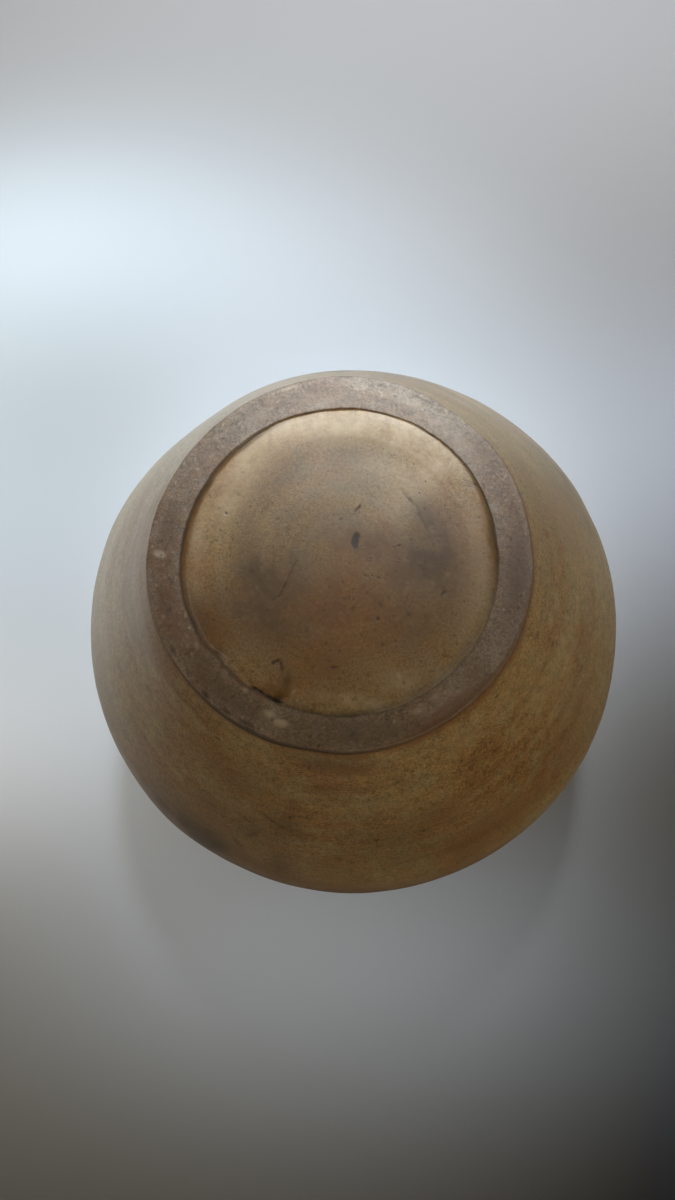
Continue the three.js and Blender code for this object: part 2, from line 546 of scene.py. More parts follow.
@dataclass
class TurnedMesh:
    """A closed mesh of revolution whose skins are joined by plain hidden bands."""

    name: str
    skins: list[Skin]
    ring: bool  # False where the section ends on the axis at both ends
    sharp: float = math.radians(48)
    hidden_step: float = 0.004  # from one hidden band to the next in the UV square
    hidden_height: float = 0.002
    hidden_margin: float = 0.01

    def build(self, materials: list[bpy.types.Material]) -> bpy.types.Object:
        """Makes the object.

        Args:
            materials: The piece's finishes, in the order of the skins' indices.

        Returns:
            The object, linked to the scene, at the origin.
        """
        grid = np.concatenate([skin.grid for skin in self.skins])
        rows, columns = grid.shape[:2]
        points = grid.reshape(-1, 3)
        if not self.ring:
            points = np.vstack([points, grid[0].mean(0), grid[-1].mean(0)])
        bands = self._bands(rows)
        caps = [] if self.ring else self._caps(rows, columns)
        mesh = bpy.data.meshes.new(self.name)
        mesh.from_pydata(points.tolist(), [], self._quads(bands, columns) + caps)
        for material in materials:
            mesh.materials.append(material)
        finishes = [self.skins[max(index, -1 - index)].finish for _, _, index in bands]
        if not self.ring:
            finishes += [self.skins[0].finish, self.skins[-1].finish]
        mesh.polygons.foreach_set("material_index", np.repeat(np.array(finishes, np.int32), columns))
        self._write_uv(mesh, bands, columns)
        self._write_traces(mesh)
        mesh.validate()
        mesh.shade_smooth()
        mesh.set_sharp_from_angle(angle=self.sharp)
        piece = bpy.data.objects.new(self.name, mesh)
        bpy.context.scene.collection.objects.link(piece)
        return piece

    def _bands(self, rows: int) -> list[tuple[int, int, int]]:
        """Row pairs with their skin's index, or minus one minus it where they are hidden.

        Args:
            rows: How many rows the piece has.

        Returns:
            Lower row, upper row and index of each band.
        """
        found = []
        start = 0
        for index, skin in enumerate(self.skins):
            count = len(skin.grid)
            found += [(row, row + 1, index) for row in range(start, start + count - 1)]
            start += count
            if start < rows:
                found.append((start - 1, start, -1 - index))
        if self.ring:
            found.append((rows - 1, 0, -len(self.skins)))
        return found

    @staticmethod
    def _quads(bands: list[tuple[int, int, int]], columns: int) -> list[list[int]]:
        """Vertex indices of every band's faces.

        Args:
            bands: Row pairs with their skins.
            columns: How many angles a row has.

        Returns:
            Four indices a face.
        """
        column = np.arange(columns)
        following = (column + 1) % columns
        quads = []
        for low, high, _ in bands:
            below = low * columns
            above = high * columns
            corners = [below + column, below + following, above + following, above + column]
            quads.append(np.stack(corners, axis=1))
        return np.concatenate(quads).tolist()

    @staticmethod
    def _caps(rows: int, columns: int) -> list[tuple[int, int, int]]:
        """Triangles from the first and last rows in to the axis.

        Args:
            rows: How many rows the piece has.
            columns: How many angles a row has.

        Returns:
            Three indices a face.
        """
        first = rows * columns
        top = (rows - 1) * columns
        low = [(first, (c + 1) % columns, c) for c in range(columns)]
        return low + [(first + 1, top + c, top + (c + 1) % columns) for c in range(columns)]

    def _write_uv(self, mesh: bpy.types.Mesh, bands: list[tuple[int, int, int]], columns: int) -> None:
        """Lays the faces out in the UV square, with no two over each other.

        Args:
            mesh: The mesh.
            bands: Row pairs with their skins.
            columns: How many angles a row has.
        """
        starts = np.cumsum([0] + [len(skin.grid) for skin in self.skins])
        uv = []
        for low, high, index in bands:
            if index >= 0:
                below, above = [self.skins[index].places(row - starts[index]) for row in (low, high)]
                uv.append(np.stack([below[0], below[1], above[1], above[0]], axis=1))
            else:
                uv.append(self._hidden_places(-1 - index, columns))
        if not self.ring:
            for skin, row, order in ((self.skins[0], 0, (2, 1, 0)), (self.skins[-1], -1, (2, 0, 1))):
                left, right = skin.places(row)
                corners = (left, right, np.broadcast_to(left.mean(0), left.shape))
                uv.append(np.stack([corners[i] for i in order], axis=1))
        flat = np.concatenate([corners.reshape(-1, 2) for corners in uv])
        layer = mesh.uv_layers.new(name="OFBake")
        layer.data.foreach_set("uv", flat.astype(np.float32).ravel())

    def _hidden_places(self, number: int, columns: int) -> np.ndarray:
        """UV places of a hidden band's corners, in a thin line at the foot of the square.

        Args:
            number: Which hidden band it is.
            columns: How many angles a row has.

        Returns:
            Four places a face.
        """
        width = (1 - 2 * self.hidden_margin) / columns
        left = self.hidden_margin + width * np.arange(columns)
        low = self.hidden_height + self.hidden_step * number
        high = low + self.hidden_height
        corners = ((left, low), (left + width, low), (left + width, high), (left, high))
        return np.stack([np.stack([u, np.full(columns, v)], 1) for u, v in corners], axis=1)

    def _write_traces(self, mesh: bpy.types.Mesh) -> None:
        """Writes every trace as a point attribute.

        Args:
            mesh: The mesh.
        """
        for trace in Trace:
            parts = []
            for skin in self.skins:
                held = skin.traces.get(trace, np.zeros((1, 1)))
                parts.append(np.broadcast_to(held, skin.grid.shape[:2]).ravel())
            values = np.concatenate(parts)
            if not self.ring:
                values = np.concatenate([values, values[:1], values[-1:]])
            attribute = mesh.attributes.new(trace.value, "FLOAT", "POINT")
            attribute.data.foreach_set("value", values.astype(np.float32))


@dataclass
class PottersHand:
    """The unevenness that runs through the whole pot, the same on both sides of each seam."""

    sizes: JarSizes
    lumps: ClayNoise = field(default_factory=lambda: ClayNoise(11))
    lines: ClayNoise = field(default_factory=lambda: ClayNoise(23, 64))
    grain: ClayNoise = field(default_factory=lambda: ClayNoise(37))
    belly_lobes: tuple[Lobe, ...] = (
        Lobe(20, 9, 0.0004), Lobe(51, 13, -0.0012), Lobe(85, 9, 0.0001), Lobe(143, 15, 0.0004),
        Lobe(190, 13, -0.0005), Lobe(310, 8, 0.0005),
    )
    foot_lobes: tuple[Lobe, ...] = (
        Lobe(0, 28, 0.0006), Lobe(345, 14, 0.0003), Lobe(92, 34, 0.0008), Lobe(125, 13, -0.0004),
        Lobe(170, 14, -0.0005), Lobe(193, 12, -0.0003), Lobe(278, 7, -0.0004),
    )
    rim_radius: float = 0.0412  # inner edge of the foot ring
    rim_lobes: tuple[Lobe, ...] = (
        Lobe(348, 20, 0.0006), Lobe(170, 20, -0.0007), Lobe(197, 14, -0.0003), Lobe(286, 10, -0.0003),
        Lobe(302, 9, -0.0008), Lobe(317, 8, -0.0007),
    )
    rim_wobble: float = 0.00013
    line_pitch: float = 0.0013
    line_depth: float = 0.00004
    ridge_pitch: float = 0.0085
    ridge_depth: float = 0.00009
    lump_size: float = 0.026
    lump_depth: float = 0.00022
    throwing_pitch: float = 0.007  # from ring to ring on the inside
    throwing_depth: float = 0.0003
    scrape_pitch: float = 0.003
    scrape_depth: float = 0.00012

    def widening(self, angle: np.ndarray, height: np.ndarray) -> np.ndarray:
        """How far the jar is out of round.

        Args:
            angle: Radians round the jar.
            height: Metres above the ground.

        Returns:
            Metres, outwards.
        """
        s = self.sizes
        foot_share = ease(0.022, s.foot_height, height)
        belly_share = ease(0.012, 0.06, height) * ease(s.neck_root, 0.115, height)
        foot = out_of_round(self.foot_lobes, angle) * foot_share
        return foot + out_of_round(self.belly_lobes, angle) * belly_share

    def rim(self, angle: np.ndarray) -> np.ndarray:
        """Radius of the foot ring's inner edge, ragged where glaze has run over it.

        Args:
            angle: Radians round the jar.

        Returns:
            Metres.
        """
        wobble = self.grain.around(angle, 14, 2)
        fine = self.grain.around(angle, 40, 5)
        ragged = out_of_round((Lobe(312, 16),), angle)
        rough = (wobble + 0.5 * fine) * (self.rim_wobble + 0.0004 * ragged)
        return self.rim_radius + out_of_round(self.rim_lobes, angle) + rough

    def outside(self, run: Run, columns: int) -> np.ndarray:
        """Shapes a run of the jar's outside.

        Args:
            run: The rows.
            columns: How many angles.

        Returns:
            Points: rows, angles, three coordinates.
        """
        angle = angles(columns)
        along = run.along[:, None]
        true_points = self.spin(run, np.zeros((1, 1)), columns)
        depth = self.line_depth * self.lines.rings(angle, along, self.line_pitch, 0.5)
        depth = depth + self.ridge_depth * self.lines.rings(angle, along, self.ridge_pitch, 0.7)
        depth = depth + self.lump_depth * self.lumps.layered(true_points, self.lump_size)
        depth = depth * ease(0, 0.004, along) * ease(self.sizes.neck_root, 0.138, run.section[:, 1:])
        points = self.spin(run, depth, columns)
        push_out(points, angle, self.widening(angle, points[..., 2]))
        side = self.sizes.belly_radius
        points[..., :2] = np.clip(points[..., :2], -side, side)
        return points

    def inside(self, run: Run, columns: int) -> np.ndarray:
        """Shapes a run of the jar's inside, with broad throwing rings.

        Args:
            run: The rows.
            columns: How many angles.

        Returns:
            Points: rows, angles, three coordinates.
        """
        angle = angles(columns)
        along = run.along[:, None]
        depth = self.throwing_depth * np.sin(along / self.throwing_pitch * TURN + angle)
        depth = depth + self.scrape_depth * self.lines.rings(angle, along, self.scrape_pitch, 0.6)
        row = np.arange(len(along))
        edge = ease(0, 1, np.minimum(row, row[::-1]) / 2)
        return self.spin(run, depth * edge[:, None], columns)

    @staticmethod
    def spin(run: Run, depth: np.ndarray, columns: int) -> np.ndarray:
        """Turns a run about the axis, moved out along its facing.

        Args:
            run: The rows.
            depth: Metres outwards, one value a row and angle.
            columns: How many angles.

        Returns:
            Points: rows, angles, three coordinates.
        """
        angle = angles(columns)
        radius = run.section[:, :1] + run.facing[:, :1] * depth
        height = run.section[:, 1:] + run.facing[:, 1:] * depth
        radius = np.broadcast_to(radius, (len(radius), columns))
        height = np.broadcast_to(height, (len(radius), columns))
        return np.stack([radius * np.cos(angle), radius * np.sin(angle), height], axis=-1)


class Bench:
    """A node tree, with the few kinds of node that the finishes and the stage use."""

    drift: ClassVar[float] = 22.0  # how fast turned lines change on their way round, per metre

    def __init__(self, tree: bpy.types.NodeTree, output: str, place: str) -> None:
        """Clears a node tree and gives it its output.

        Args:
            tree: The tree.
            output: The kind of output node.
            place: Which texture coordinate its patterns follow.
        """
        self.tree = tree
        self.tree.nodes.clear()
        self.output = self.node(output)
        self.place = self.node("TexCoord").outputs[place]

    @classmethod
    def material(cls, name: str) -> tuple["Bench", bpy.types.Material]:
        """An empty material's bench, and the material.

        Args:
            name: The material's name.

        Returns:
            The bench and the material.
        """
        material = bpy.data.materials.new(name)
        material.use_nodes = True
        return cls(material.node_tree, "OutputMaterial", "Object"), material

    def node(self, kind: str, fed: dict[str | int, object] | None = None, **choices: str) -> bpy.types.Node:
        """Adds a node.

        Args:
            kind: Its type, without the start that all have.
            fed: A value or another node's output for some of its sockets.
            choices: Its settings.

        Returns:
            The node.
        """
        found = self.tree.nodes.new("ShaderNode" + kind)
        for name, choice in choices.items():
            setattr(found, name, choice)
        for socket, value in (fed or {}).items():
            self.feed(found.inputs[socket], value)
        return found

    def feed(self, socket: bpy.types.NodeSocket, value: object) -> None:
        """Links a socket to another node's output, or sets it.

        Args:
            socket: The socket.
            value: The output, or a number or colour.
        """
        if isinstance(value, bpy.types.NodeSocket):
            self.tree.links.new(value, socket)
        elif isinstance(value, tuple) and socket.type == "RGBA":
            socket.default_value = (*value, 1.0)
        else:
            socket.default_value = value

    def show(self, shader: bpy.types.Node) -> None:
        """Links a shader to the output."""
        self.feed(self.output.inputs["Surface"], shader.outputs[0])

    def sums(self, operation: str, *values: object) -> bpy.types.NodeSocket:
        """A Math node on some values."""
        return self.node("Math", dict(enumerate(values)), operation=operation).outputs[0]

    def vectors(self, operation: str, *values: object) -> bpy.types.NodeSocket:
        """A Vector Math node on some vectors."""
        kind = "Value" if operation in ("LENGTH", "DOT_PRODUCT") else "Vector"
        return self.node("VectorMath", dict(enumerate(values)), operation=operation).outputs[kind]

    def axes(self) -> bpy.types.bpy_prop_collection:
        """X, Y and Z of the coordinate that the patterns follow."""
        return self.node("SeparateXYZ", {0: self.place}).outputs

    def noise(self, size: float, detail: float, vector: object = None) -> bpy.types.NodeSocket:
        """A noise texture whose features are about size metres across."""
        fed = {"Vector": vector or self.place, "Scale": 1 / size, "Detail": detail}
        return self.node("TexNoise", fed).outputs[0]

    def cells(self, size: float) -> bpy.types.Node:
        """A Voronoi texture with cells about size metres across."""
        return self.node("TexVoronoi", {"Vector": self.place, "Scale": 1 / size})

    def trace(self, trace: Trace) -> bpy.types.NodeSocket:
        """What the mesh says of a trace."""
        return self.node("Attribute", attribute_name=trace.value).outputs["Fac"]

    def window(
        self, value: object, low: float, high: float, least: float = 0.0, most: float = 1.0
    ) -> bpy.types.NodeSocket:
        """Value from low to high as a smooth step from least to most."""
        fed = {"Value": value, "From Min": low, "From Max": high, "To Min": least, "To Max": most}
        return self.node("MapRange", fed, interpolation_type="SMOOTHSTEP").outputs[0]

    def blend(self, share: object, first: object, second: object) -> bpy.types.NodeSocket:
        """Mixes two colours."""
        return self.node("Mix", {0: share, 6: first, 7: second}, data_type="RGBA").outputs[2]

    def brighten(self, colour: object, factor: object) -> bpy.types.NodeSocket:
        """A colour times a factor."""
        return self.node("VectorMath", {0: colour, "Scale": factor}, operation="SCALE").outputs[0]

    def total(self, colours: list[bpy.types.NodeSocket]) -> bpy.types.NodeSocket:
        """The sum of some colours."""
        return reduce(lambda first, second: self.vectors("ADD", first, second), colours)

    def swing(self, noise: object, contrast: float, middle: object) -> bpy.types.NodeSocket:
        """Middle, raised and lowered by a noise that runs from 0 to 1."""
        return self.sums("MULTIPLY_ADD", self.sums("SUBTRACT", noise, 0.5), contrast, middle)

    def mix_shaders(self, share: object, first: bpy.types.Node, second: bpy.types.Node) -> bpy.types.Node:
        """Mixes two shaders."""
        return self.node("MixShader", {0: share, 1: first.outputs[0], 2: second.outputs[0]})

    def turned(self, pitch: float) -> bpy.types.NodeSocket:
        """Coordinates drawn out round the jar, for lines on its surface.

        Args:
            pitch: Metres from line to line.

        Returns:
            The coordinates.
        """
        x, y = [self.sums("MULTIPLY", axis, self.drift) for axis in self.axes()[:2]]
        lines = self.sums("MULTIPLY", self.trace(Trace.ALONG), 1 / pitch)
        return self.node("CombineXYZ", {0: lines, 1: x, 2: y}).outputs[0]


@dataclass(frozen=True)
class Dots:
    """Scattered small dots, one in some of the cells of a grid."""

    cell: float  # metres across a cell
    share: float  # share of the cells that hold a dot
    reach: float  # radius of the largest dot, in metres
    strength: float

    def paint(self, bench: Bench) -> bpy.types.NodeSocket:
        """Adds the dots' nodes.

        Args:
            bench: The finish's node tree.

        Returns:
            The strength in the dots and 0 elsewhere.
        """
        cells = bench.cells(self.cell)
        draws = bench.node("SeparateColor", {0: cells.outputs["Color"]}).outputs
        chosen = bench.sums("LESS_THAN", draws[0], self.share)
        largest = self.reach / self.cell
        radius = bench.sums("MULTIPLY_ADD", draws[1], largest * 0.65, largest * 0.35)
        near = bench.window(bench.sums("DIVIDE", cells.outputs["Distance"], radius), 1.3, 0.5)
        faint = bench.sums("MULTIPLY_ADD", draws[2], self.strength * 0.7, self.strength * 0.3)
        return bench.sums("MULTIPLY", bench.sums("MULTIPLY", near, chosen), faint)


@dataclass(frozen=True)
class ClayFinish:
    """Fired clay, glazed or bare: its colours, its gloss and its grain."""

    name: str
    body: str
    warm: str
    cool: str
    pale: str
    grime_and_shade: str
    stain: str
    rust: str
    dark: str
    roughness: float
    gloss: float
    film: float  # weight of the thin clear film on top
    mottle: float  # contrast of the grain
    lines: float  # contrast of the turning lines
    dark_dots: tuple[Dots, ...]
    pale_dots: tuple[Dots, ...]
    bump: float  # metres, height of the grain
    cloud_size: float = 0.030
    patch_size: float = 0.0075
    mottle_size: float = 0.0026
    grain_size: float = 0.0010
    fine_size: float = 0.0005
    line_pitch: float = 0.0012
    broad_pitch: float = 0.006
    specular_tint: Colour = (1.0, 0.98, 0.94)
    film_roughness: float = 0.24

    def make(self) -> bpy.types.Material:
        """Builds the material.

        Returns:
            A procedural material that reads the mesh's traces.
        """
        bench, material = Bench.material(self.name)
        clouds = bench.window(bench.noise(self.cloud_size, 2.0), 0.36, 0.64)
        patches = bench.noise(self.patch_size, 4.0)
        mottles = bench.noise(self.mottle_size, 3.0)
        grain = bench.noise(self.grain_size, 2.0)
        fine = bench.noise(self.fine_size, 1.0)
        lines = bench.noise(1.0, 2.0, bench.turned(self.line_pitch))
        broad = bench.noise(1.0, 1.0, bench.turned(self.broad_pitch))
        colour = bench.blend(clouds, tone(self.body), tone(self.warm))
        cool = bench.window(bench.sums("MULTIPLY_ADD", broad, 0.5, patches), 0.66, 0.92)
        colour = bench.blend(bench.sums("MULTIPLY", cool, 0.7), colour, tone(self.cool))
        shade = 1.0
        for noise, strength in ((grain, 1.0), (fine, 1.2), (mottles, 1.0), (patches, 0.7)):
            shade = bench.swing(noise, self.mottle * strength, shade)
        shade = bench.swing(broad, self.lines, bench.swing(lines, self.lines, shade))
        colour = bench.brighten(colour, bench.sums("MAXIMUM", shade, 0.3))
        ragged = bench.window(bench.sums("ADD", patches, mottles), 0.75, 1.25, 0.7, 1.2)
        codes = (self.pale, self.stain, self.rust, self.grime_and_shade)
        for trace, code in zip((Trace.PALE, Trace.STAIN_AND_SHADE, Trace.RUST, Trace.GRIME_AND_SHADE), codes):
            share = bench.sums("MINIMUM", bench.sums("MULTIPLY", bench.trace(trace), ragged), 1.0)
            colour = bench.blend(share, colour, tone(code))
        for dots in self.pale_dots:
            colour = bench.blend(dots.paint(bench), colour, tone(self.pale))
        dark = bench.trace(Trace.DARK)
        for dots in self.dark_dots:
            dark = bench.sums("MAXIMUM", dark, dots.paint(bench))
        dark = bench.sums("MINIMUM", dark, 1.0)
        colour = bench.blend(dark, colour, tone(self.dark))
        rough = bench.swing(patches, 0.2, self.roughness)
        rough = bench.sums("MULTIPLY_ADD", bench.trace(Trace.GRIME_AND_SHADE), 0.1, rough)
        height = bench.sums("MULTIPLY_ADD", mottles, 0.8, grain)
        height = bench.sums("MULTIPLY_ADD", lines, 0.5, height)
        height = bench.sums("SUBTRACT", height, dark)
        relief = bench.node("Bump", {"Strength": 1.0, "Distance": self.bump, "Height": height})
        fed = {
            "Base Color": colour,
            "Roughness": bench.sums("MINIMUM", rough, 1.0),
            "Specular IOR Level": self.gloss,
            "Specular Tint": self.specular_tint,
            "Coat Weight": self.film,
            "Coat Roughness": self.film_roughness,
            "Normal": relief.outputs[0],
        }
        bench.show(bench.node("BsdfPrincipled", fed))
        return material


BARE_CLAY = ClayFinish(
    "bare_clay", body="7f6b55", warm="795e46", cool="85786a", pale="b8a892", grime_and_shade="57473a",
    stain="74503a", rust="6c4a24", dark="2d2118", roughness=0.6, gloss=0.9, film=0.0, mottle=0.9,
    lines=0.15, bump=0.00007,
    dark_dots=(Dots(0.0014, 0.3, 0.00034, 0.6), Dots(0.0038, 0.3, 0.0006, 0.6)),
    pale_dots=(Dots(0.0012, 0.25, 0.0003, 0.5), Dots(0.0050, 0.2, 0.0006, 0.5)),
)
THIN_GLAZE = ClayFinish(
    "thin_glaze", body="a38759", warm="9c774b", cool="9b8868", pale="c3ad8c", grime_and_shade="5a452c",
    stain="7b5734", rust="785424", dark="261a10", roughness=0.42, gloss=0.62, film=0.0, mottle=0.85,
    lines=0.3, bump=0.00003,
    dark_dots=(Dots(0.0016, 0.2, 0.00032, 0.6), Dots(0.0050, 0.2, 0.0005, 0.75)),
    pale_dots=(Dots(0.0050, 0.12, 0.0004, 0.5),),
)
BODY_GLAZE = ClayFinish(
    "body_glaze", body="9e8356", warm="967449", cool="91845f", pale="ae9265", grime_and_shade="4f3f28",
    stain="78532f", rust="80502a", dark="261b0e", roughness=0.36, gloss=0.5, film=0.4, mottle=1.0,
    lines=0.35, bump=0.00003,
    dark_dots=(Dots(0.0018, 0.25, 0.00034, 0.6), Dots(0.0065, 0.2, 0.0006, 0.7)),
    pale_dots=(Dots(0.0075, 0.12, 0.0006, 0.4),),
)
INNER_GLAZE = ClayFinish(
    "inner_glaze", body="776041", warm="6e5239", cool="776b54", pale="937a54", grime_and_shade="504334",
    stain="634429", rust="754b2c", dark="2c2118", roughness=0.5, gloss=0.5, film=0.0, mottle=0.5,
    lines=0.5, bump=0.00004,
    dark_dots=(Dots(0.0040, 0.2, 0.0005, 0.6),),
    pale_dots=(Dots(0.0070, 0.1, 0.0005, 0.5),),
)


@dataclass
class FootRing:
    """Flat band of bare clay that the jar stands on, worn at both edges and gritty."""

    sizes: JarSizes
    hand: PottersHand
    columns: int = 1080
    face_level: float = 0.00014  # how far the worn face lies above the grit that touches ground
    inner_round: float = 0.00035
    outer_round: float = 0.0006
    wobble: float = 0.00013  # unevenness of the outer edge
    grit_height: float = 0.00015
    grit_size: tuple[float, float] = (0.16, 0.36)  # half widths in millimetres
    grit_pale: float = 0.55  # share of the grains that are pale
    band_spread: float = 0.0013
    grain_depth: float = 0.00004
    dent_depth: float = 0.00007

    def section(self) -> np.ndarray:
        """Rows from the floor of the recess, down the inner wall, over the face and up.

        Returns:
            Radius and height of each row.
        """
        s = self.sizes
        top = s.foot_height
        low = self.face_level
        rim = self.hand.rim_radius
        bend = self.inner_round
        wall = np.stack([np.full(12, rim), np.linspace(top, low + bend, 12)], 1)
        inner = bent((rim + bend, low + bend), (bend, bend), (1.0, 1.5), 6)[1:]
        bend = self.outer_round
        reach = s.foot_radius - bend
        face = np.stack([np.linspace(inner[-1, 0], reach, 50)[1:], np.full(49, low)], 1)
        outer = bent((reach, low + bend), (bend, bend), (1.5, 2.0), 8)[1:]
        rise = np.stack([np.full(8, s.foot_radius), np.linspace(low + bend, top, 9)[1:]], 1)
        return np.vstack([wall, inner, face, outer, rise])

    def marks(self) -> list[Mark]:
        """Chips, patches and dirt on the face.

        Returns:
            The marks.
        """
        return (
            marks_of(
                Trace.PALE, Layout.RING,
                (1, 47.2, 1, 1.8, 20, 1, 0.5, -0.06), (288.5, 45.2, 1.8, 1, -14, 1, 0.6, -0.08),
                (293, 44, 1.8, 0.9, 0, 0.8, 0.3), (327, 43.2, 1.3, 0.6, 20, 0.6, 0.3),
                (339, 42.3, 1, 0.4, 20, 0.9, 0.6, -0.06), (334, 42.7, 0.4, 0.4, 0, 0.9, 0.6, -0.06),
                (336.5, 44.7, 0.4, 0.4, 0, 0.7, 0.6), (351, 48.2, 0.4, 0.4, 0, 0.7, 0.6),
                (304, 41.8, 0.8, 0.7, 0, 0.6, 0.4), (237, 43.3, 1.4, 0.8, 0, 0.45, 0.2),
                (243, 44, 2, 0.9, 0, 0.4, 0.2), (198.5, 43.8, 0.4, 0.4, 0, 0.7, 0.6),
                (46.5, 46.5, 2.2, 1.6, 0, 0.35, 0.1), (74, 49, 2.6, 0.7, 0, 0.45, 0.1),
                # The broad patches at 85 and 130 degrees are partly rubbed clay and partly a painted
                # highlight on the side towards the window lamp.
                (97, 47.6, 3.8, 1.2, 0, 0.5, 0.1), (130, 44.5, 15, 2.4, 0, 0.3),
                (85, 44.5, 12, 2.4, 0, 0.25), (232, 45.6, 11, 3, 0, 0.22), (60, 45, 5, 1.6, 0, 0.3, 0.2),
                (110, 46.2, 6, 1.8, 0, 0.3, 0.2),
            )
            + marks_of(
                Trace.DARK, Layout.RING,
                (174, 44.1, 0.5, 0.4, 0, 0.6, 0.4), (160, 45.5, 0.5, 0.3, 0, 0.6, 0.4),
                (163, 46.2, 1.2, 0.3, 30, 0.5, 0.3), (166, 47.2, 1, 0.3, -20, 0.5, 0.3),
                (153, 41.8, 0.8, 0.4, 10, 0.65, 0.4), (117, 48.7, 3, 0.3, 0, 0.35, 0.1),
                (126.5, 44, 1, 0.7, 0, 0.3, 0.1), (278.5, 46.6, 0.5, 0.4, 0, 0.65, 0.5),
                (266, 46, 2.2, 1.4, 0, 0.35, 0.1), (10, 44.5, 1.2, 0.3, 60, 0.35, 0.2),
                (305, 48.9, 1.6, 0.6, 0, 0.8, 0.3), (298, 48.7, 2.2, 0.7, 0, 0.7, 0.3),
                (313, 49, 1.2, 0.6, 0, 0.8, 0.4), (322, 48.6, 1.4, 0.5, 20, 0.6, 0.3),
                (330, 48.9, 1.8, 0.5, 0, 0.7, 0.3), (342, 46.2, 1, 0.6, 40, 0.5, 0.3),
                (352, 44.4, 1.2, 0.5, -30, 0.5, 0.3),
            )
            + marks_of(
                Trace.GRIME_AND_SHADE, Layout.RING,
                # Partly handling dirt; the patches at 186, 268 and 270 degrees are also painted shade on
                # the ring's right and near sides.
                (12, 46, 8, 2.4, 0, 0.5), (318, 45, 11, 3, 0, 0.4), (186, 45.5, 16, 4, 0, 0.6),
                (270, 43, 14, 1.6, 0, 0.35), (268, 45.5, 12, 3.4, 0, 0.45), (306, 46.2, 8, 3, 0, 0.45),
                (52, 45.5, 11, 3.4, 0, 0.35), (300, 45, 4, 2, 0, 0.5), (252, 46.8, 5, 1.6, 0, 0.45),
                (88, 45.5, 14, 3.6, 0, 0.15), (345, 47, 5, 1.8, 0, 0.4), (70, 45.2, 5, 1.6, 0, 0.4),
                (142, 47, 5, 2, 0, 0.4),
            )
            + marks_of(
                Trace.STAIN_AND_SHADE, Layout.RING,
                # The brown patch at 186 degrees is also painted shade on the ring's right side.
                (338, 45.5, 12, 3.4, 0, 0.5), (186, 45.5, 15, 4, 0, 0.4), (235, 47, 15, 1.2, 0, 0.7),
                (163, 46.2, 4, 1.6, 0, 0.55), (222, 45.5, 4, 1.4, 0, 0.4), (35, 45.5, 7, 3, 0, 0.2),
            )
        )

    def grit(self) -> list[Mark]:
        """Kiln grit stuck to the face, thickest along the far side.

        Returns:
            One mark a grain.
        """
        draw = np.random.default_rng(5)
        beds = (
            (46, 4, 46.5, 26), (33, 6, 46.2, 10), (58, 7, 46.8, 20), (75, 5, 48.8, 30), (98, 4.5, 47.8, 36),
            (88, 8, 47.5, 16), (118, 7, 48.2, 22), (152, 8, 47, 16), (196, 8, 47, 14), (243, 10, 44, 16),
            (335, 9, 45, 16), (268, 8, 46.2, 14), (298, 10, 46, 20), (10, 8, 46.5, 12),
        )
        found = []
        for angle, spread, middle, count in beds:
            for _ in range(count):
                place = draw.normal(angle, spread)
                radius = float(np.clip(draw.normal(middle, self.band_spread / MM), 42.4, 49.2))
                size = draw.uniform(*self.grit_size)
                trace = Trace.PALE if draw.random() < self.grit_pale else Trace.DARK
                lift = -draw.uniform(0.3, 1.0) * self.grit_height / MM
                strength = draw.uniform(0.3, 0.75)
                length = size * draw.uniform(1, 2)
                row = (place, radius, length, size, draw.uniform(0, 180), strength, 0.3, lift)
                found += marks_of(trace, Layout.RING, row)
        return found

    def build(self) -> bpy.types.Object:
        """Makes the ring and dresses it.

        Returns:
            The piece.
        """
        s = self.sizes
        run = Run.through(self.section())
        angle = angles(self.columns)
        radius = run.section[:, :1]
        level = np.broadcast_to(run.section[:, 1:], (len(radius), self.columns))
        noise = self.hand.grain
        edge = noise.around(angle, 14, level * 400) + 0.5 * noise.around(angle, 45, level * 900)
        outer = ease(0.0475, s.foot_radius, radius) * ease(s.foot_height, s.foot_height * 0.7, level)
        inner = ease(self.hand.rim_radius + 0.0030, self.hand.rim_radius + 0.0004, radius)
        shift = self.wobble * edge * outer + (self.hand.rim(angle) - self.hand.rim_radius) * inner
        shift = shift + self.hand.widening(angle, level) * ease(0.043, s.foot_radius, radius)
        points = self.hand.spin(run, np.zeros((1, 1)), self.columns)
        push_out(points, angle, shift)
        facing_down = ease(0.0012, 0.0006, level)
        canvas = Canvas(points, noise, facing_down)
        for mark in self.marks() + self.grit():
            canvas.lay(mark)
        rough = self.grain_depth * noise.layered(points, 0.0011, 2)
        rough = rough + self.dent_depth * self.hand.lumps.layered(points, 0.006, 2)
        points[..., 2] = np.maximum(points[..., 2] + rough * facing_down + canvas.sink, 0)
        self.stain(canvas, radius + shift, level, angle)
        canvas.traces[Trace.ALONG] = run.section[:, :1]
        skin = Skin(points, run.along, canvas.traces, 0, Unwrap.DISC, Patch(0.01, 0.03, 0.96, 0.96))
        return TurnedMesh("foot_ring_skin", [skin], ring=True).build([BARE_CLAY.make()])

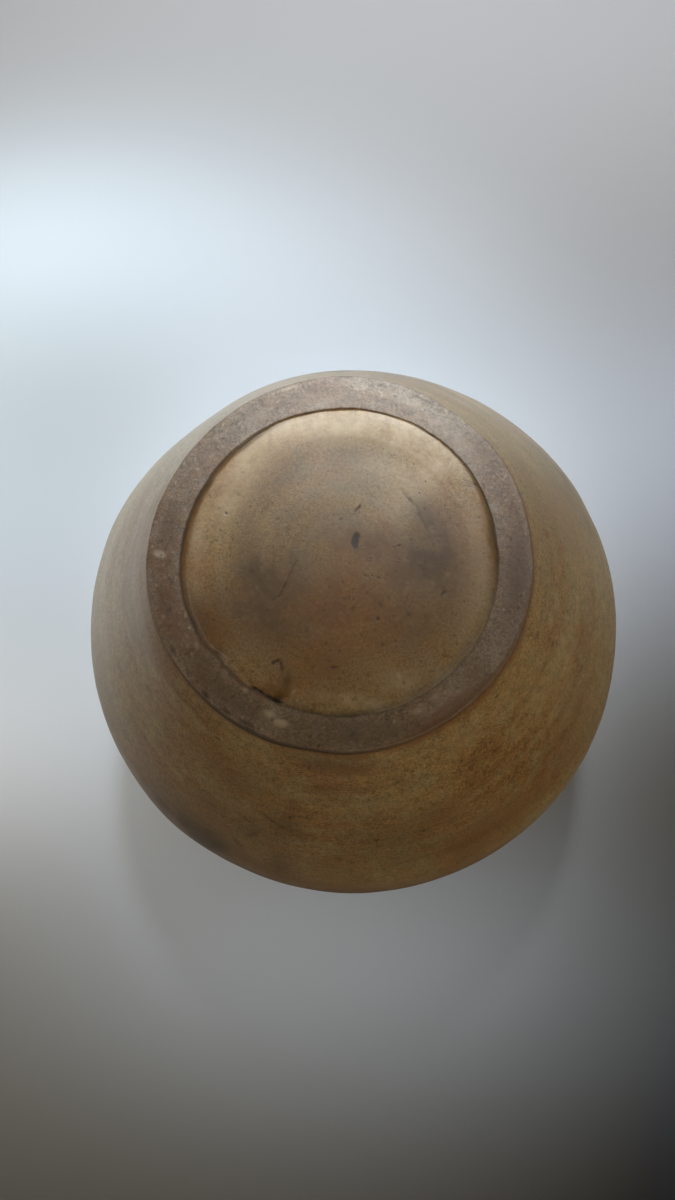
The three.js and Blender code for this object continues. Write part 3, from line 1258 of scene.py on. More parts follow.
    def stain(self, canvas: Canvas, radius: np.ndarray, level: np.ndarray, angle: np.ndarray) -> None:
        """Colours the two edges: glaze run over them, dirt, and painted shade on the inner wall and along
        both edges.

        Args:
            canvas: The ring's skin.
            radius: Distance of its points from the axis.
            level: Their height before they were roughened.
            angle: Radians round the jar.
        """
        ragged = 0.5 + 0.7 * canvas.noise.around(angle, 30, level * 200)
        from_edge = self.sizes.foot_radius + self.hand.widening(angle, 0 * level) - radius
        run_over = np.clip(0.2 + out_of_round((Lobe(196, 30), Lobe(232, 20, 0.7)), angle), 0, 0.75)
        width = 0.0003 + out_of_round((Lobe(234, 16, 0.0020), Lobe(200, 22, 0.0004)), angle)
        canvas.cover(Trace.RUST, run_over * ease(width * 1.3, width * 0.4, from_edge - 0.0004 * ragged))
        from_rim = radius - self.hand.rim(angle)
        spill = out_of_round((Lobe(314, 14, 0.0016),), angle) * (0.4 + 0.9 * ragged)
        spilt = ease(spill + 0.0002, spill * 0.4, from_rim) * (spill > 0.0002)
        canvas.cover(Trace.STAIN_AND_SHADE, spilt * 0.7)
        canvas.cover(Trace.DARK, spilt * 0.35)
        # Painted shade on the ring's inner wall, a little less towards 118 degrees; olive glaze over it at
        # the left.
        wall = ease(self.face_level + 0.0001, self.face_level + 0.0006, level) * (radius < 0.0445)
        canvas.cover(Trace.DARK, wall * (0.3 - 0.25 * out_of_round((Lobe(118, 40),), angle)))
        olive = out_of_round((Lobe(2, 26), Lobe(40, 18, 0.7), Lobe(338, 12, 0.6)), angle)
        canvas.cover(Trace.RUST, wall * np.clip(olive, 0, 1) * 0.95)
        # A dark line along the rim's edge, strongest at the left: dirt and painted shade.
        left = out_of_round((Lobe(20, 36),), angle)
        arris = np.exp(-(((from_rim - 0.0001) / 0.00025) ** 2))
        canvas.cover(Trace.DARK, arris * (0.12 + 0.2 * ragged + left * 0.5))
        # A dark line along the outer edge, strongest near 296 degrees and broken elsewhere: dirt and
        # painted shade where the ring meets the wall.
        outer_dirt_and_shade = out_of_round((Lobe(294, 22, 0.6), Lobe(262, 22, 0.25), Lobe(322, 14, 0.2)), angle)
        broken = out_of_round((Lobe(143, 22, 0.25), Lobe(205, 40, 0.2)), angle) * (0.3 + 1.2 * ragged)
        width = 0.00025 + out_of_round((Lobe(296, 18, 0.0005),), angle) * (0.4 + 0.9 * ragged)
        line = ease(width * 1.4, width * 0.5, from_edge) * (radius > 0.0475)
        canvas.cover(Trace.DARK, line * np.clip(0.05 + outer_dirt_and_shade + broken, 0, 0.9))


def stroke(width: float, strength: float, sink: float, *places: tuple[float, float]) -> list[Mark]:
    """A dark scratch through some places, as a chain of narrow marks. All lengths are in mm.

    Args:
        width: Half of its width.
        strength: How strongly it shows.
        sink: How deep it is.
        places: Points that it runs through.

    Returns:
        One mark a step.
    """
    rows = []
    for (x0, y0), (x1, y1) in zip(places, places[1:]):
        half = math.hypot(x1 - x0, y1 - y0) * 0.58
        turn = math.degrees(math.atan2(y1 - y0, x1 - x0))
        rows.append(((x0 + x1) / 2, (y0 + y1) / 2, half, width, turn, strength, 0.4, sink))
    return marks_of(Trace.DARK, Layout.FLAT, *rows)


@dataclass
class BaseSlab:
    """Floor of the jar: the thinly glazed recess below, a strip of the wall, the inside floor."""

    sizes: JarSizes
    hand: PottersHand
    outline: Outline
    columns: int = 720
    overlap: float = 0.0005  # how far the recess's skin runs on inside the ring
    lean: float = 0.0011  # how much shallower the recess is at its far side than at its near side
    far_rise: float = 0.0008  # how much its floor drops more, close to the ring at the far side
    even_radius: float = 0.034  # the rows bend with the rim outside this radius
    ring_depth: float = 0.00002  # turning lines of the recess
    lump_depth: float = 0.00006
    lowest: float = 0.0004  # how near the ground the floor may come
    speck_count: int = 170
    speck_reach: float = 0.038
    speck_size: tuple[float, float] = (0.00018, 0.00036)  # half widths
    speck_depth: float = 0.00003
    speck_dark: float = 0.85  # share of the specks that are dark
    inner_floor: float = 0.0475
    fillet_least: float = 0.0003
    fillet_unevenness: float = 0.0002
    width_lobes: tuple[Lobe, ...] = (
        Lobe(2, 24, 0.0015), Lobe(40, 22, 0.0005), Lobe(176, 26, 0.0015), Lobe(235, 34, 0.0008),
        Lobe(312, 18, 0.0012), Lobe(338, 12, 0.0008),
    )
    rise_least: float = 0.0002
    rise_lobes: tuple[Lobe, ...] = (
        Lobe(2, 28, 0.0007), Lobe(38, 20, 0.0006), Lobe(176, 30, 0.0005), Lobe(235, 34, 0.0002),
        Lobe(270, 14, 0.0003), Lobe(312, 20, 0.0006),
    )
    inner_rows: int = 16
    spiral_pitch: float = 0.009
    spiral_depth: float = 0.0002

    def fillet_width(self, angle: np.ndarray) -> np.ndarray:
        """Width of the fillet in the recess's corner, by angle."""
        uneven = self.fillet_unevenness * self.hand.grain.around(angle, 16, 5)
        return np.maximum(self.fillet_least + out_of_round(self.width_lobes, angle) + uneven, 0.0002)

    def fillet_rise(self, angle: np.ndarray) -> np.ndarray:
        """How far glaze and clay climb the ring's wall, by angle."""
        return self.rise_least + out_of_round(self.rise_lobes, angle)

    def smudges(self) -> list[Mark]:
        """Grey handling dirt, red-brown stains and thin glaze on the recess's floor, and a painted
        highlight along its far edge.

        Returns:
            The marks.
        """
        return (
            marks_of(
                Trace.GRIME_AND_SHADE, Layout.FLAT,
                (19, -5, 15, 12, 80, 0.7), (24, -3, 9, 5, 84, 0.35), (-24, 1, 15, 9, 92, 0.85),
                (-24, 3, 10, 5, 92, 0.5), (-11, 1, 12, 10, 90, 0.3), (-1, 29, 17, 5, -3, 0.6),
                (17, 22, 12, 5, 142, 0.6), (25, 10, 8, 5, 110, 0.4), (-23, 12, 11, 5, 60, 0.4),
                (18, -18, 13, 9, 45, 0.5), (-20, -16, 12, 7, -45, 0.3), (11, 3, 13, 10, 90, 0.45),
                (29, -14, 10, 6, 60, 0.35), (-2, 19, 17, 11, 0, 0.5), (-4, 8, 12, 8, 0, 0.3),
            )
            + marks_of(
                Trace.STAIN_AND_SHADE, Layout.FLAT,
                (-29, 0, 18, 9, 92, 0.4), (-8, 3, 19, 9, 6, 0.55), (10, -12, 17, 12, 20, 0.45),
                (-6, -11, 22, 16, 10, 0.7), (-16, -12, 15, 12, 0, 0.4), (3, -29, 18, 8, 0, 0.6),
                (33, -17, 9, 4, 62, 0.6), (-3, 3, 9, 8, 0, 0.5),
            )
            + marks_of(Trace.DARK, Layout.FLAT, (36, -15, 9, 2.2, 66, 0.3))
            + marks_of(
                Trace.PALE, Layout.FLAT,
                # The pale marks along the far edge, y above 10 mm, are partly thin glaze and partly a
                # painted highlight on the side towards the window lamp.
                (37, 4, 13, 2.4, 92, 0.5), (0, 36.6, 24, 4.6, 0, 0.8), (-18, 33, 14, 6, 150, 0.6),
                (-27, 27, 19, 6, 135, 0.7), (-34.5, 1, 20, 3.4, 90, 0.35), (25, 26, 15, 6, 132, 0.65),
                (30, 15, 10, 4, 110, 0.5), (-15.5, -31.6, 9, 3.4, 18, 0.55), (-8, -37.8, 17, 2, 10, 0.55),
            )
        )

    def spots(self) -> list[Mark]:
        """Iron spots, pits, bloating and splashes at their places.

        Returns:
            The marks.
        """
        return (
            marks_of(
                Trace.DARK, Layout.FLAT,
                (-3.8, 4.5, 2, 1, 96, 1, 0.7, 0.06), (-4.4, 6, 1, 0.7, 60, 0.8, 0.5),
                (30.3, 12.4, 0.4, 0.4, 0, 1, 0.7, 0.15), (31.7, 7.6, 0.5, 0.4, 0, 0.6, 0.3, 0.05),
                (32.2, 13.7, 0.6, 0.5, 0, 0.35, 0.2), (24, 14.2, 0.5, 0.4, 0, 0.4, 0.3),
                (16.6, 10.7, 0.6, 0.3, 160, 0.6, 0.4), (13.8, 7.9, 0.5, 0.5, 0, 0.5, 0.3),
                (28.2, 5.3, 0.5, 0.5, 0, 0.4, 0.3), (14.9, 3.1, 0.5, 0.4, 0, 0.4, 0.3),
                (29.6, -8.2, 0.5, 0.4, 90, 0.75, 0.4, 0.05), (23.1, -3.4, 0.6, 0.4, 0, 0.4, 0.3),
                (3.4, -22.3, 0.6, 0.4, 90, 0.55, 0.4), (1.4, -28.5, 1, 0.3, 0, 0.8, 0.5, 0.1),
                (-6.4, -4.7, 0.4, 0.3, 0, 0.45, 0.3, 0.04), (-8.4, -4.9, 0.3, 0.3, 0, 0.4, 0.3, 0.04),
                (-9.8, -5.3, 0.5, 0.4, 30, 0.55, 0.4, 0.05), (-9.7, -16, 0.6, 0.5, 0, 0.8, 0.4, 0.08),
                (-10.1, -12.1, 0.5, 0.4, 0, 0.6, 0.4, 0.05), (-3.4, -13.2, 0.5, 0.5, 0, 0.6, 0.4),
                (-13.8, -15.2, 0.6, 0.3, 0, 0.6, 0.4), (-17.5, -14.9, 0.5, 0.5, 0, 0.6, 0.4),
                (-11, -22.8, 0.5, 0.4, 0, 0.55, 0.4), (-26.5, -25.4, 0.7, 0.6, 0, 0.55, 0.3),
                (-7.3, -30.4, 0.6, 0.5, 0, 0.5, 0.3), (-15.1, 3.4, 0.4, 0.4, 0, 0.7, 0.5, 0.05),
                (-20.3, 29.1, 0.6, 0.4, 0, 0.3, 0.2), (-37.2, 18.6, 0.7, 0.5, 60, 0.75, 0.4, 0.08),
                (-35.2, 19.8, 0.8, 0.5, 30, 0.7, 0.3, 0.05), (31.3, -24.7, 1.6, 0.7, 20, 0.35, 0.2),
                (16.1, -36.9, 1.8, 0.9, 150, 0.7, 0.3, 0.1),
            )
            + marks_of(
                Trace.STAIN_AND_SHADE, Layout.FLAT,
                (-18.6, 7, 1.2, 0.9, 0, 0.6, 0.2), (17, -34, 5, 2.2, 155, 0.7, 0.2),
            )
            + marks_of(
                Trace.PALE, Layout.FLAT,
                (-14.9, -30.7, 0.7, 0.6, 40, 1, 0.7, -0.12), (-14.2, -30.9, 0.4, 0.3, 0, 0.7, 0.6, -0.08),
                (16.1, -32.7, 0.8, 0.4, 20, 0.9, 0.6, -0.1), (11.8, -34.9, 1.2, 0.5, 148, 1, 0.6, -0.12),
                (-14.2, 3.5, 0.4, 0.3, 0, 0.8, 0.5, -0.05), (25.5, 0.5, 0.4, 0.3, 0, 0.7, 0.5),
                (24.2, -11.4, 0.4, 0.4, 0, 0.6, 0.4), (1.9, -9.7, 0.5, 0.4, 90, 0.8, 0.5),
                (1.5, -15.8, 0.5, 0.3, 30, 0.6, 0.4), (-6.7, -0.5, 0.8, 0.4, 40, 0.5, 0.3),
                (-8.2, -3.1, 0.7, 0.5, 60, 0.5, 0.3), (31.8, -23.6, 1.2, 0.5, 40, 0.5, 0.3),
            )
            + marks_of(
                Trace.RUST, Layout.FLAT,
                (14.4, -35.2, 3, 1.6, 155, 0.9, 0.4), (33.2, -20, 6, 2.6, 58, 0.35, 0.2),
                (31.3, -24.3, 2, 1.3, 30, 0.7, 0.3), (-35, 16.5, 2.2, 1.2, 100, 0.5, 0.1),
                (-28.5, 26.8, 1, 0.6, 120, 0.4, 0.1),
            )
            + marks_of(Trace.GRIME_AND_SHADE, Layout.FLAT, (13.2, -31.8, 3, 1.4, 96, 0.8))
        )

    def scratches(self) -> list[Mark]:
        """Scratches and drying cracks.

        Returns:
            The marks.
        """
        lines = [
            (0.22, 0.6, 0.06, (11.3, -0.3), (12.4, -2.5), (13.8, -5.9), (14.6, -7.9), (15.8, -10.1)),
            (0.3, 0.5, 0.05, (14, -6.2), (14.8, -8.4)),
            (0.24, 0.6, 0.05, (15.2, -9.7), (16.5, -10.3), (17.8, -11.5)),
            (0.3, 0.85, 0.1, (-3.5, 12.4), (-4.4, 13.2), (-5.1, 14.3)),
            (0.3, 0.35, 0, (-2.7, 11.2), (-3.6, 12.2)),
            (0.2, 0.5, 0.03, (-12.4, 28.1), (-14.6, 28.1)),
            (0.2, 0.45, 0.03, (-12.4, 27.4), (-14.6, 27.3)),
            (0.4, 0.3, 0.03, (-15.5, 18.9), (-17.7, 16.1), (-20, 13.8), (-21.1, 10.4), (-22.8, 7)),
            (0.4, 0.45, 0.04, (-17.6, 16.3), (-18.6, 15)),
            (0.4, 0.9, 0.1, (-26, -10.1), (-27, -8.7)),
            (0.5, 0.95, 0.12, (17.3, -27.7), (16.3, -26.9), (15.2, -26.8)),
            (0.4, 0.85, 0.1, (15, -27), (14.7, -28), (14.4, -29.4)),
            (0.4, 1, 0.2, (22.2, -33.4), (20.5, -34.3), (18.9, -35.3), (16.3, -36.9), (14.4, -37.6)),
            (0.3, 0.9, 0.08, (-37.5, 16.6), (-37.8, 15.5), (-38.4, 14.6), (-38.3, 13.2)),
            (0.3, 0.8, 0.05, (-13.2, 39.9), (-14.1, 39.3), (-14.9, 39.6)),
        ]
        lines += [(0.2, 0.45, 0.02, (-32.1, 21 - drop), (-35.2, 20.3 - drop)) for drop in (0, 0.6, 1.3)]
        return [mark for line in lines for mark in stroke(*line)]

    def scatter(self) -> list[Mark]:
        """Small iron spots, closer together towards the near side.

        Returns:
            One mark a speck.
        """
        draw = np.random.default_rng(8)
        found = []
        while len(found) < self.speck_count:
            x = draw.uniform(-self.speck_reach, self.speck_reach)
            y = draw.uniform(-self.speck_reach, self.speck_reach)
            crowd = 0.15 + 0.85 * ease(0.012, -0.020, np.array(y + 0.5 * x))
            if math.hypot(x, y) > self.speck_reach or draw.random() > crowd:
                continue
            size = draw.uniform(*self.speck_size)
            trace = Trace.DARK if draw.random() < self.speck_dark else Trace.PALE
            strength = draw.uniform(0.25, 0.65)
            turn = draw.uniform(0, 180)
            length = size * draw.uniform(1, 1.8)
            found.append(Mark(trace, x, y, length, size, turn, strength, 0.3, self.speck_depth))
        return found

    def underside(self) -> Skin:
        """The recess's floor, out into the ring's clay.

        Returns:
            The skin.
        """
        s = self.sizes
        angle = angles(self.columns)
        rim = self.hand.rim(angle)
        inner = np.linspace(0.0005, self.even_radius, 80)[:, None] + 0 * angle
        share = np.concatenate([np.linspace(0, 0.62, 14)[1:], np.linspace(0.62, 1, 28)[1:]])[:, None]
        outer = self.even_radius + (rim + self.overlap - self.even_radius) * share
        radius = np.vstack([inner, outer])
        level = s.foot_height - s.slab_crown * (1 - np.minimum(radius / s.bore, 1) ** 2)
        points = np.stack([radius * np.cos(angle), radius * np.sin(angle), level], axis=-1)
        inward = rim - radius
        width = self.fillet_width(angle)
        climb = np.clip((width - inward) / width, 0, 1) ** 1.7
        far = out_of_round((Lobe(118, 44), Lobe(54, 20, 0.6)), angle) * ease(0.028, 0.041, radius)
        tipped = self.lean * np.clip((points[..., 1] / s.bore + 1) / 2, 0, 1)
        height = -self.fillet_rise(angle) * climb - self.far_rise * far - tipped
        height = height + self.ring_depth * self.hand.lines.rings(angle, radius, 0.0014, 0.4)
        height = height + self.lump_depth * self.hand.lumps.layered(points, 0.014)
        height = np.maximum(height, self.lowest - points[..., 2])
        canvas = Canvas(points, self.hand.grain, ease(-0.0002, 0.0003, inward))
        for mark in self.smudges() + self.spots() + self.scratches() + self.scatter():
            canvas.lay(mark)
        points[..., 2] += height + canvas.sink
        self.stain_corner(canvas, inward, angle)
        canvas.traces[Trace.ALONG] = radius
        along = radius.mean(axis=1)
        return Skin(points, along, canvas.traces, 0, Unwrap.DISC, Patch(0.01, 0.03, 0.62, 0.62))

    def stain_corner(self, canvas: Canvas, inward: np.ndarray, angle: np.ndarray) -> None:
        """Colours the recess's corner: olive at the left, orange at the right, thin elsewhere, with painted
        shade in the corner.

        Args:
            canvas: The recess's skin.
            inward: Metres in from the ring's inner edge.
            angle: Radians round the jar.
        """

        def band(middle: float, half: float) -> np.ndarray:
            """A soft band at a distance from the ring's edge."""
            return np.exp(-(((inward - middle - uneven) / half) ** 2))

        def side(*lobes: tuple[float, float]) -> np.ndarray:
            """1 at each angle in turn, fading over its spread."""
            return np.clip(out_of_round(tuple(Lobe(turn, spread) for turn, spread in lobes), angle), 0, 1)

        uneven = 0.00025 * canvas.noise.around(angle, 12, 8)
        rough = inward + uneven
        left = side((4, 22))
        upper_left = side((30, 16), (52, 14))
        right = side((174, 18))
        near = side((272, 15))
        low_left = side((336, 12))
        low_right = side((232, 30))
        # Painted shade: the corner along the ring's wall is darkened all round, most at the left, upper
        # left, right and near side; the rust terms are glaze pooled there.
        dark = 0.3 * band(0, 0.0003) + left * 0.35 * ease(0.0014, 0.0004, rough)
        dark = dark + low_left * 0.45 * ease(0.0024, 0.0010, rough)
        dark = dark + upper_left * 0.6 * band(0.0003, 0.0005)
        dark = dark + right * 0.5 * band(0.0004, 0.0005) + near * 0.5 * band(0.0003, 0.0006)
        rust = left * 0.9 * ease(0.0022, 0.0010, inward) + upper_left * 0.8 * band(0.0009, 0.0005)
        rust = rust + right * (0.9 * band(0.0016, 0.0011) + 0.6 * band(0, 0.0010))
        rust = rust + low_left * 0.35 * ease(0.0034, 0.0018, rough)
        canvas.cover(Trace.DARK, np.clip(dark, 0, 0.8))
        canvas.cover(Trace.RUST, np.clip(rust, 0, 0.9))
        canvas.cover(Trace.PALE, low_right * 0.5 * band(0.0013, 0.0008))

    def side(self) -> Skin:
        """The strip of the outside wall that the slab's edge makes.

        Returns:
            The skin.
        """
        run = self.outline.run(self.sizes.foot_height, self.sizes.slab_top, 22)
        points, traces = wall_surface(self.hand, run, self.columns)
        return Skin(points, run.along, traces, 1, Unwrap.QUARTERS, Patch(0.01, 0.68, 0.97, 0.30))

    def inside_floor(self) -> Skin:
        """The floor inside, with the spiral that the thrower's finger left.

        Returns:
            The skin.
        """
        count = self.inner_rows
        radius = np.linspace(self.inner_floor, 0.0006, count)[:, None]
        section = np.hstack([radius, np.full_like(radius, self.sizes.slab_top)])
        level = Run(section, np.zeros((count, 2)), radius[:, 0])
        points = self.hand.spin(level, np.zeros((1, 1)), self.columns)
        fade = ease(self.inner_floor, self.inner_floor - 0.006, radius) * ease(0, 0.006, radius)
        spiral = 1 + np.sin(radius / self.spiral_pitch * TURN + angles(self.columns))
        points[..., 2] -= self.spiral_depth * fade * spiral
        patch = Patch(0.66, 0.03, 0.32, 0.32)
        return Skin(points, radius[:, 0], {Trace.ALONG: radius}, 2, Unwrap.DISC, patch)

    def build(self) -> bpy.types.Object:
        """Makes the slab and dresses it.

        Returns:
            The piece.
        """
        skins = [self.underside(), self.side(), self.inside_floor()]
        finishes = [THIN_GLAZE.make(), BODY_GLAZE.make(), INNER_GLAZE.make()]
        return TurnedMesh("base_slab_skin", skins, ring=False).build(finishes)


def wall_marks() -> list[Mark]:
    """Stains, smudges and scratches on the outside, with broad patches of painted shade.

    Returns:
        The marks.
    """
    return (
        marks_of(
            Trace.DARK, Layout.WALL,
            (302, 74, 6, 8, 0, 0.65, 0.3), (306, 64, 4, 6, 20, 0.3, 0.1), (295, 78, 5, 4, 0, 0.35, 0.2),
            (298, 66, 3, 5, -20, 0.3, 0.2), (282.5, 31.2, 1, 0.6, 0, 0.8, 0.4),
            (287, 35, 6, 0.7, -35, 0.45, 0.1), (292, 40, 4, 0.8, -30, 0.5, 0.1),
            (291, 47, 4, 1, 70, 0.5, 0.1), (294, 56, 5, 0.9, -60, 0.5, 0.1),
            (304.5, 11.7, 1.4, 0.3, 5, 0.9, 0.4), (198.6, 18.7, 1.2, 0.4, 0, 0.95, 0.5),
            (200, 10, 1.6, 0.5, -30, 0.5, 0.2), (199, 40, 4, 0.6, -25, 0.45, 0.1),
            (204, 19, 5, 0.8, -10, 0.3, 0.1), (221, 7.4, 0.6, 0.5, 0, 0.85, 0.4),
            (229, 23, 0.6, 0.5, 0, 0.8, 0.4), (262.5, 40, 0.6, 0.6, 0, 0.9, 0.4),
            (130, 52, 1.4, 0.5, 40, 0.6, 0.4), (60, 112, 1.6, 0.5, 20, 0.6, 0.4),
        )
        + marks_of(
            Trace.STAIN_AND_SHADE, Layout.WALL,
            # The broad patches at 240, 268 and 300 degrees are partly stains and partly painted shade on
            # the lower wall's near side.
            (300, 70, 32, 22, 0, 0.8), (268, 80, 38, 12, 0, 0.8), (240, 84, 24, 9, 0, 0.6),
            (282, 25, 2.6, 4, 0, 0.6), (273, 16, 6, 3, 0, 0.5), (242, 58, 20, 18, 0, 0.55),
            (265, 9, 6, 3, 0, 0.6), (247, 36, 10, 8, 0, 0.5), (213, 50, 24, 16, 20, 0.35),
            (300, 20, 20, 8, 0, 0.35), (75, 70, 30, 16, 12, 0.4), (20, 118, 24, 10, 5, 0.4),
        )
        + marks_of(
            Trace.GRIME_AND_SHADE, Layout.WALL,
            # Partly dirt; the broad patch at 94 degrees is painted shade on the side towards the window
            # lamp, and the broad ones at 284 to 312 degrees are painted shade on the near side.
            (312, 70, 16, 20, 0, 0.6), (94, 45, 56, 50, 0, 0.85), (148, 55, 24, 34, 0, 0.5),
            (284, 84, 24, 8, 0, 0.6), (300, 64, 12, 14, 0, 0.7), (284, 62, 6, 20, 0, 0.5),
            (291, 45, 8, 8, 30, 0.45), (301, 42, 10, 8, 0, 0.4), (283, 36, 6, 8, 0, 0.5),
            (260, 42, 16, 20, 0, 0.35), (274, 6.5, 12, 3, 0, 0.5), (320, 9, 6, 2, 0, 0.35),
            (330, 23, 2, 1.2, 30, 0.5), (120, 100, 26, 13, -8, 0.35), (320, 104, 20, 12, 15, 0.35),
        )
        + marks_of(
            Trace.RUST, Layout.WALL,
            (170, 12, 1.2, 2.6, 0, 0.8, 0.2), (173, 20, 3, 4, 0, 0.4), (260, 52, 1, 1.4, 0, 0.6, 0.2),
            (258, 61, 1.4, 2, 0, 0.4), (232, 70, 1.2, 1.6, 0, 0.5),
        )
        + marks_of(
            Trace.PALE, Layout.WALL,
            (272.5, 26.5, 1.2, 0.4, 10, 0.8, 0.5), (274, 29.5, 1, 0.3, 10, 0.5, 0.4),
            (163, 30, 24, 9, 0, 0.3), (345, 60, 26, 10, 0, 0.35), (30, 50, 30, 12, 0, 0.25),
            (250, 112, 28, 10, 5, 0.35),
        )
    )


def wall_surface(hand: PottersHand, run: Run, columns: int) -> tuple[np.ndarray, dict[Trace, np.ndarray]]:
    """Shape, stains and dirt of the jar's outside, continuous over its seams.

    Args:
        hand: The pot's unevenness.
        run: The rows.
        columns: How many angles.

    Returns:
        The points, and values a point for each trace.
    """
    s = hand.sizes
    points = hand.outside(run, columns)
    angle = angles(columns)
    along = run.along[:, None]
    level = points[..., 2]
    canvas = Canvas(points, hand.grain, 1.0, wall=True)
    for mark in wall_marks():
        canvas.lay(mark)
    canvas.traces[Trace.ALONG] = along
    ragged = hand.grain.layered(points, 0.005)
    # A lens-shaped stain that stands on the foot, with a darker edge
    lens_top = 0.0215 * np.exp(-((degrees_from(angle, -5) / 27) ** 2)) + 0.0022
    inside = ease(lens_top + 0.0022, lens_top - 0.0026, level + 0.0012 * ragged)
    edge = np.exp(-(((level - lens_top + 0.001 * ragged) / 0.0013) ** 2))
    inside = inside * ease(0.005, 0.012, lens_top)
    edge = edge * ease(0.008, 0.014, lens_top)
    canvas.deepen(Trace.STAIN_AND_SHADE, inside * 0.4 + edge * 0.2)
    # Dirt and painted shade in the groove above the foot, strongest near 315 degrees, and glaze that has
    # run off beside it
    groove = ease(0.0013, 0.0003, along) * np.ones_like(level)
    canvas.cover(Trace.DARK, groove * (0.3 + 0.6 * ease(0.2, 0.9, np.cos(angle - math.radians(315)))))
    run_off = ease(0.0035, 0.0008, along + 0.0008 * ragged)
    canvas.cover(Trace.RUST, run_off * (0.32 - 0.3 * np.cos(angle - 0.6)))
    # Glaze pooled below the neck, clouds and streaks, and a line of dirt at the widest point
    pooled = ease(s.neck_root - 0.008, s.neck_root, level + 0.001 * ragged)
    canvas.cover(Trace.DARK, pooled * 0.35)
    cloud = hand.lumps.layered(points, 0.030)
    streak = 0.3 * hand.lines.rings(angle, along, 0.012, 1.1)
    canvas.deepen(Trace.STAIN_AND_SHADE, ease(0.25, 1.2, cloud + streak) * 0.35)
    canvas.deepen(Trace.PALE, ease(0.3, 1.3, streak - cloud) * 0.3)
    canvas.deepen(Trace.GRIME_AND_SHADE, np.exp(-(((level - s.belly_height) / 0.0007) ** 2)) * 0.14)
    return points, canvas.traces


@dataclass
class ThrownSection:
    """A section of the wall, glazed outside and lined inside."""

    sizes: JarSizes
    hand: PottersHand
    outline: Outline
    columns: int = 576

    def wall(self, low: float, high: float, count: int) -> Skin:
        """The outside between two heights, in a given number of rows.

        Args:
            low: Height of the first row.
            high: Height of the last row.
            count: How many rows.

        Returns:
            The skin.
        """
        run = self.outline.run(low, high, count)
        points, traces = wall_surface(self.hand, run, self.columns)
        return Skin(points, run.along, traces, 0, Unwrap.QUARTERS, Patch(0.01, 0.34, 0.97, 0.65))

    def lined(self, name: str, outer: Skin, lining: Run, tall: float = 0.29) -> bpy.types.Object:
        """Closes an outside with its lining and dresses both.

        Args:
            name: The piece's name.
            outer: The outside.
            lining: Rows down the inside.
            tall: Height of the lining's patch of the UV square.

        Returns:
            The piece.
        """
        points = self.hand.inside(lining, self.columns)
        traces = {Trace.ALONG: lining.along[:, None]}
        inner = Skin(points, lining.along, traces, 1, Unwrap.QUARTERS, Patch(0.01, 0.03, 0.97, tall))
        return TurnedMesh(name, [outer, inner], ring=True).build([BODY_GLAZE.make(), INNER_GLAZE.make()])


@dataclass
class LowerBody(ThrownSection):
    """Flared bowl from the slab to the widest point."""

    def build(self) -> bpy.types.Object:
        """Makes the bowl and dresses it.

        Returns:
            The piece.
        """
        s = self.sizes
        outer = self.wall(s.slab_top, s.belly_height, 104)
        return self.lined("lower_body_skin", outer, self.outline.lining(s.slab_top, s.belly_height, 40))


@dataclass
class UpperBody(ThrownSection):
    """Shoulder from the widest point in to the neck."""

    def build(self) -> bpy.types.Object:
        """Makes the shoulder and dresses it.

        Returns:
            The piece.
        """
        s = self.sizes
        outer = self.wall(s.belly_height, s.neck_root, 92)
        lining = self.outline.lining(s.belly_height, s.neck_root - s.wall, 44)
        corner = [[s.mouth_bore, s.neck_root], [s.mouth_bore, s.neck_root - s.wall * 0.8]]
        return self.lined("upper_body_skin", outer, Run.through(np.vstack([corner, lining.section[2:]])))


@dataclass
class NeckCollar(ThrownSection):
    """Short upright neck, a little waisted outside."""

    line_pitch: float = 0.0012
    line_depth: float = 0.00008

    def build(self) -> bpy.types.Object:
        """Makes the neck and dresses it.

        Returns:
            The piece.
        """
        s = self.sizes
        share = np.linspace(0, 1, 26)
        radius = s.neck_radius - s.neck_waist * np.sin(math.pi * share) ** 0.8
        level = s.neck_root + (s.lip_seat - s.neck_root) * share
        run = Run.through(np.stack([radius, level], axis=1))
        run.along = run.along + self.outline.outer.along[-1]
        along = run.along[:, None]
        lines = self.hand.lines.rings(angles(self.columns), along, self.line_pitch, 0.5)
        fade = np.sin(math.pi * share)[:, None]
        points = self.hand.spin(run, self.line_depth * lines * fade, self.columns)
        # Painted shade at both ends of the neck: under the lip's roll and where it meets the shoulder.
        shade = np.abs(2 * share - 1)[:, None] ** 2
        traces = {Trace.ALONG: along, Trace.DARK: shade * 0.35, Trace.STAIN_AND_SHADE: shade * 0.5}
        outer = Skin(points, run.along, traces, 0, Unwrap.QUARTERS, Patch(0.01, 0.50, 0.97, 0.48))
        down = np.stack([np.full(14, s.mouth_bore), np.linspace(s.lip_seat, s.neck_root, 14)], axis=1)
        return self.lined("neck_collar_skin", outer, Run.through(down), 0.44)


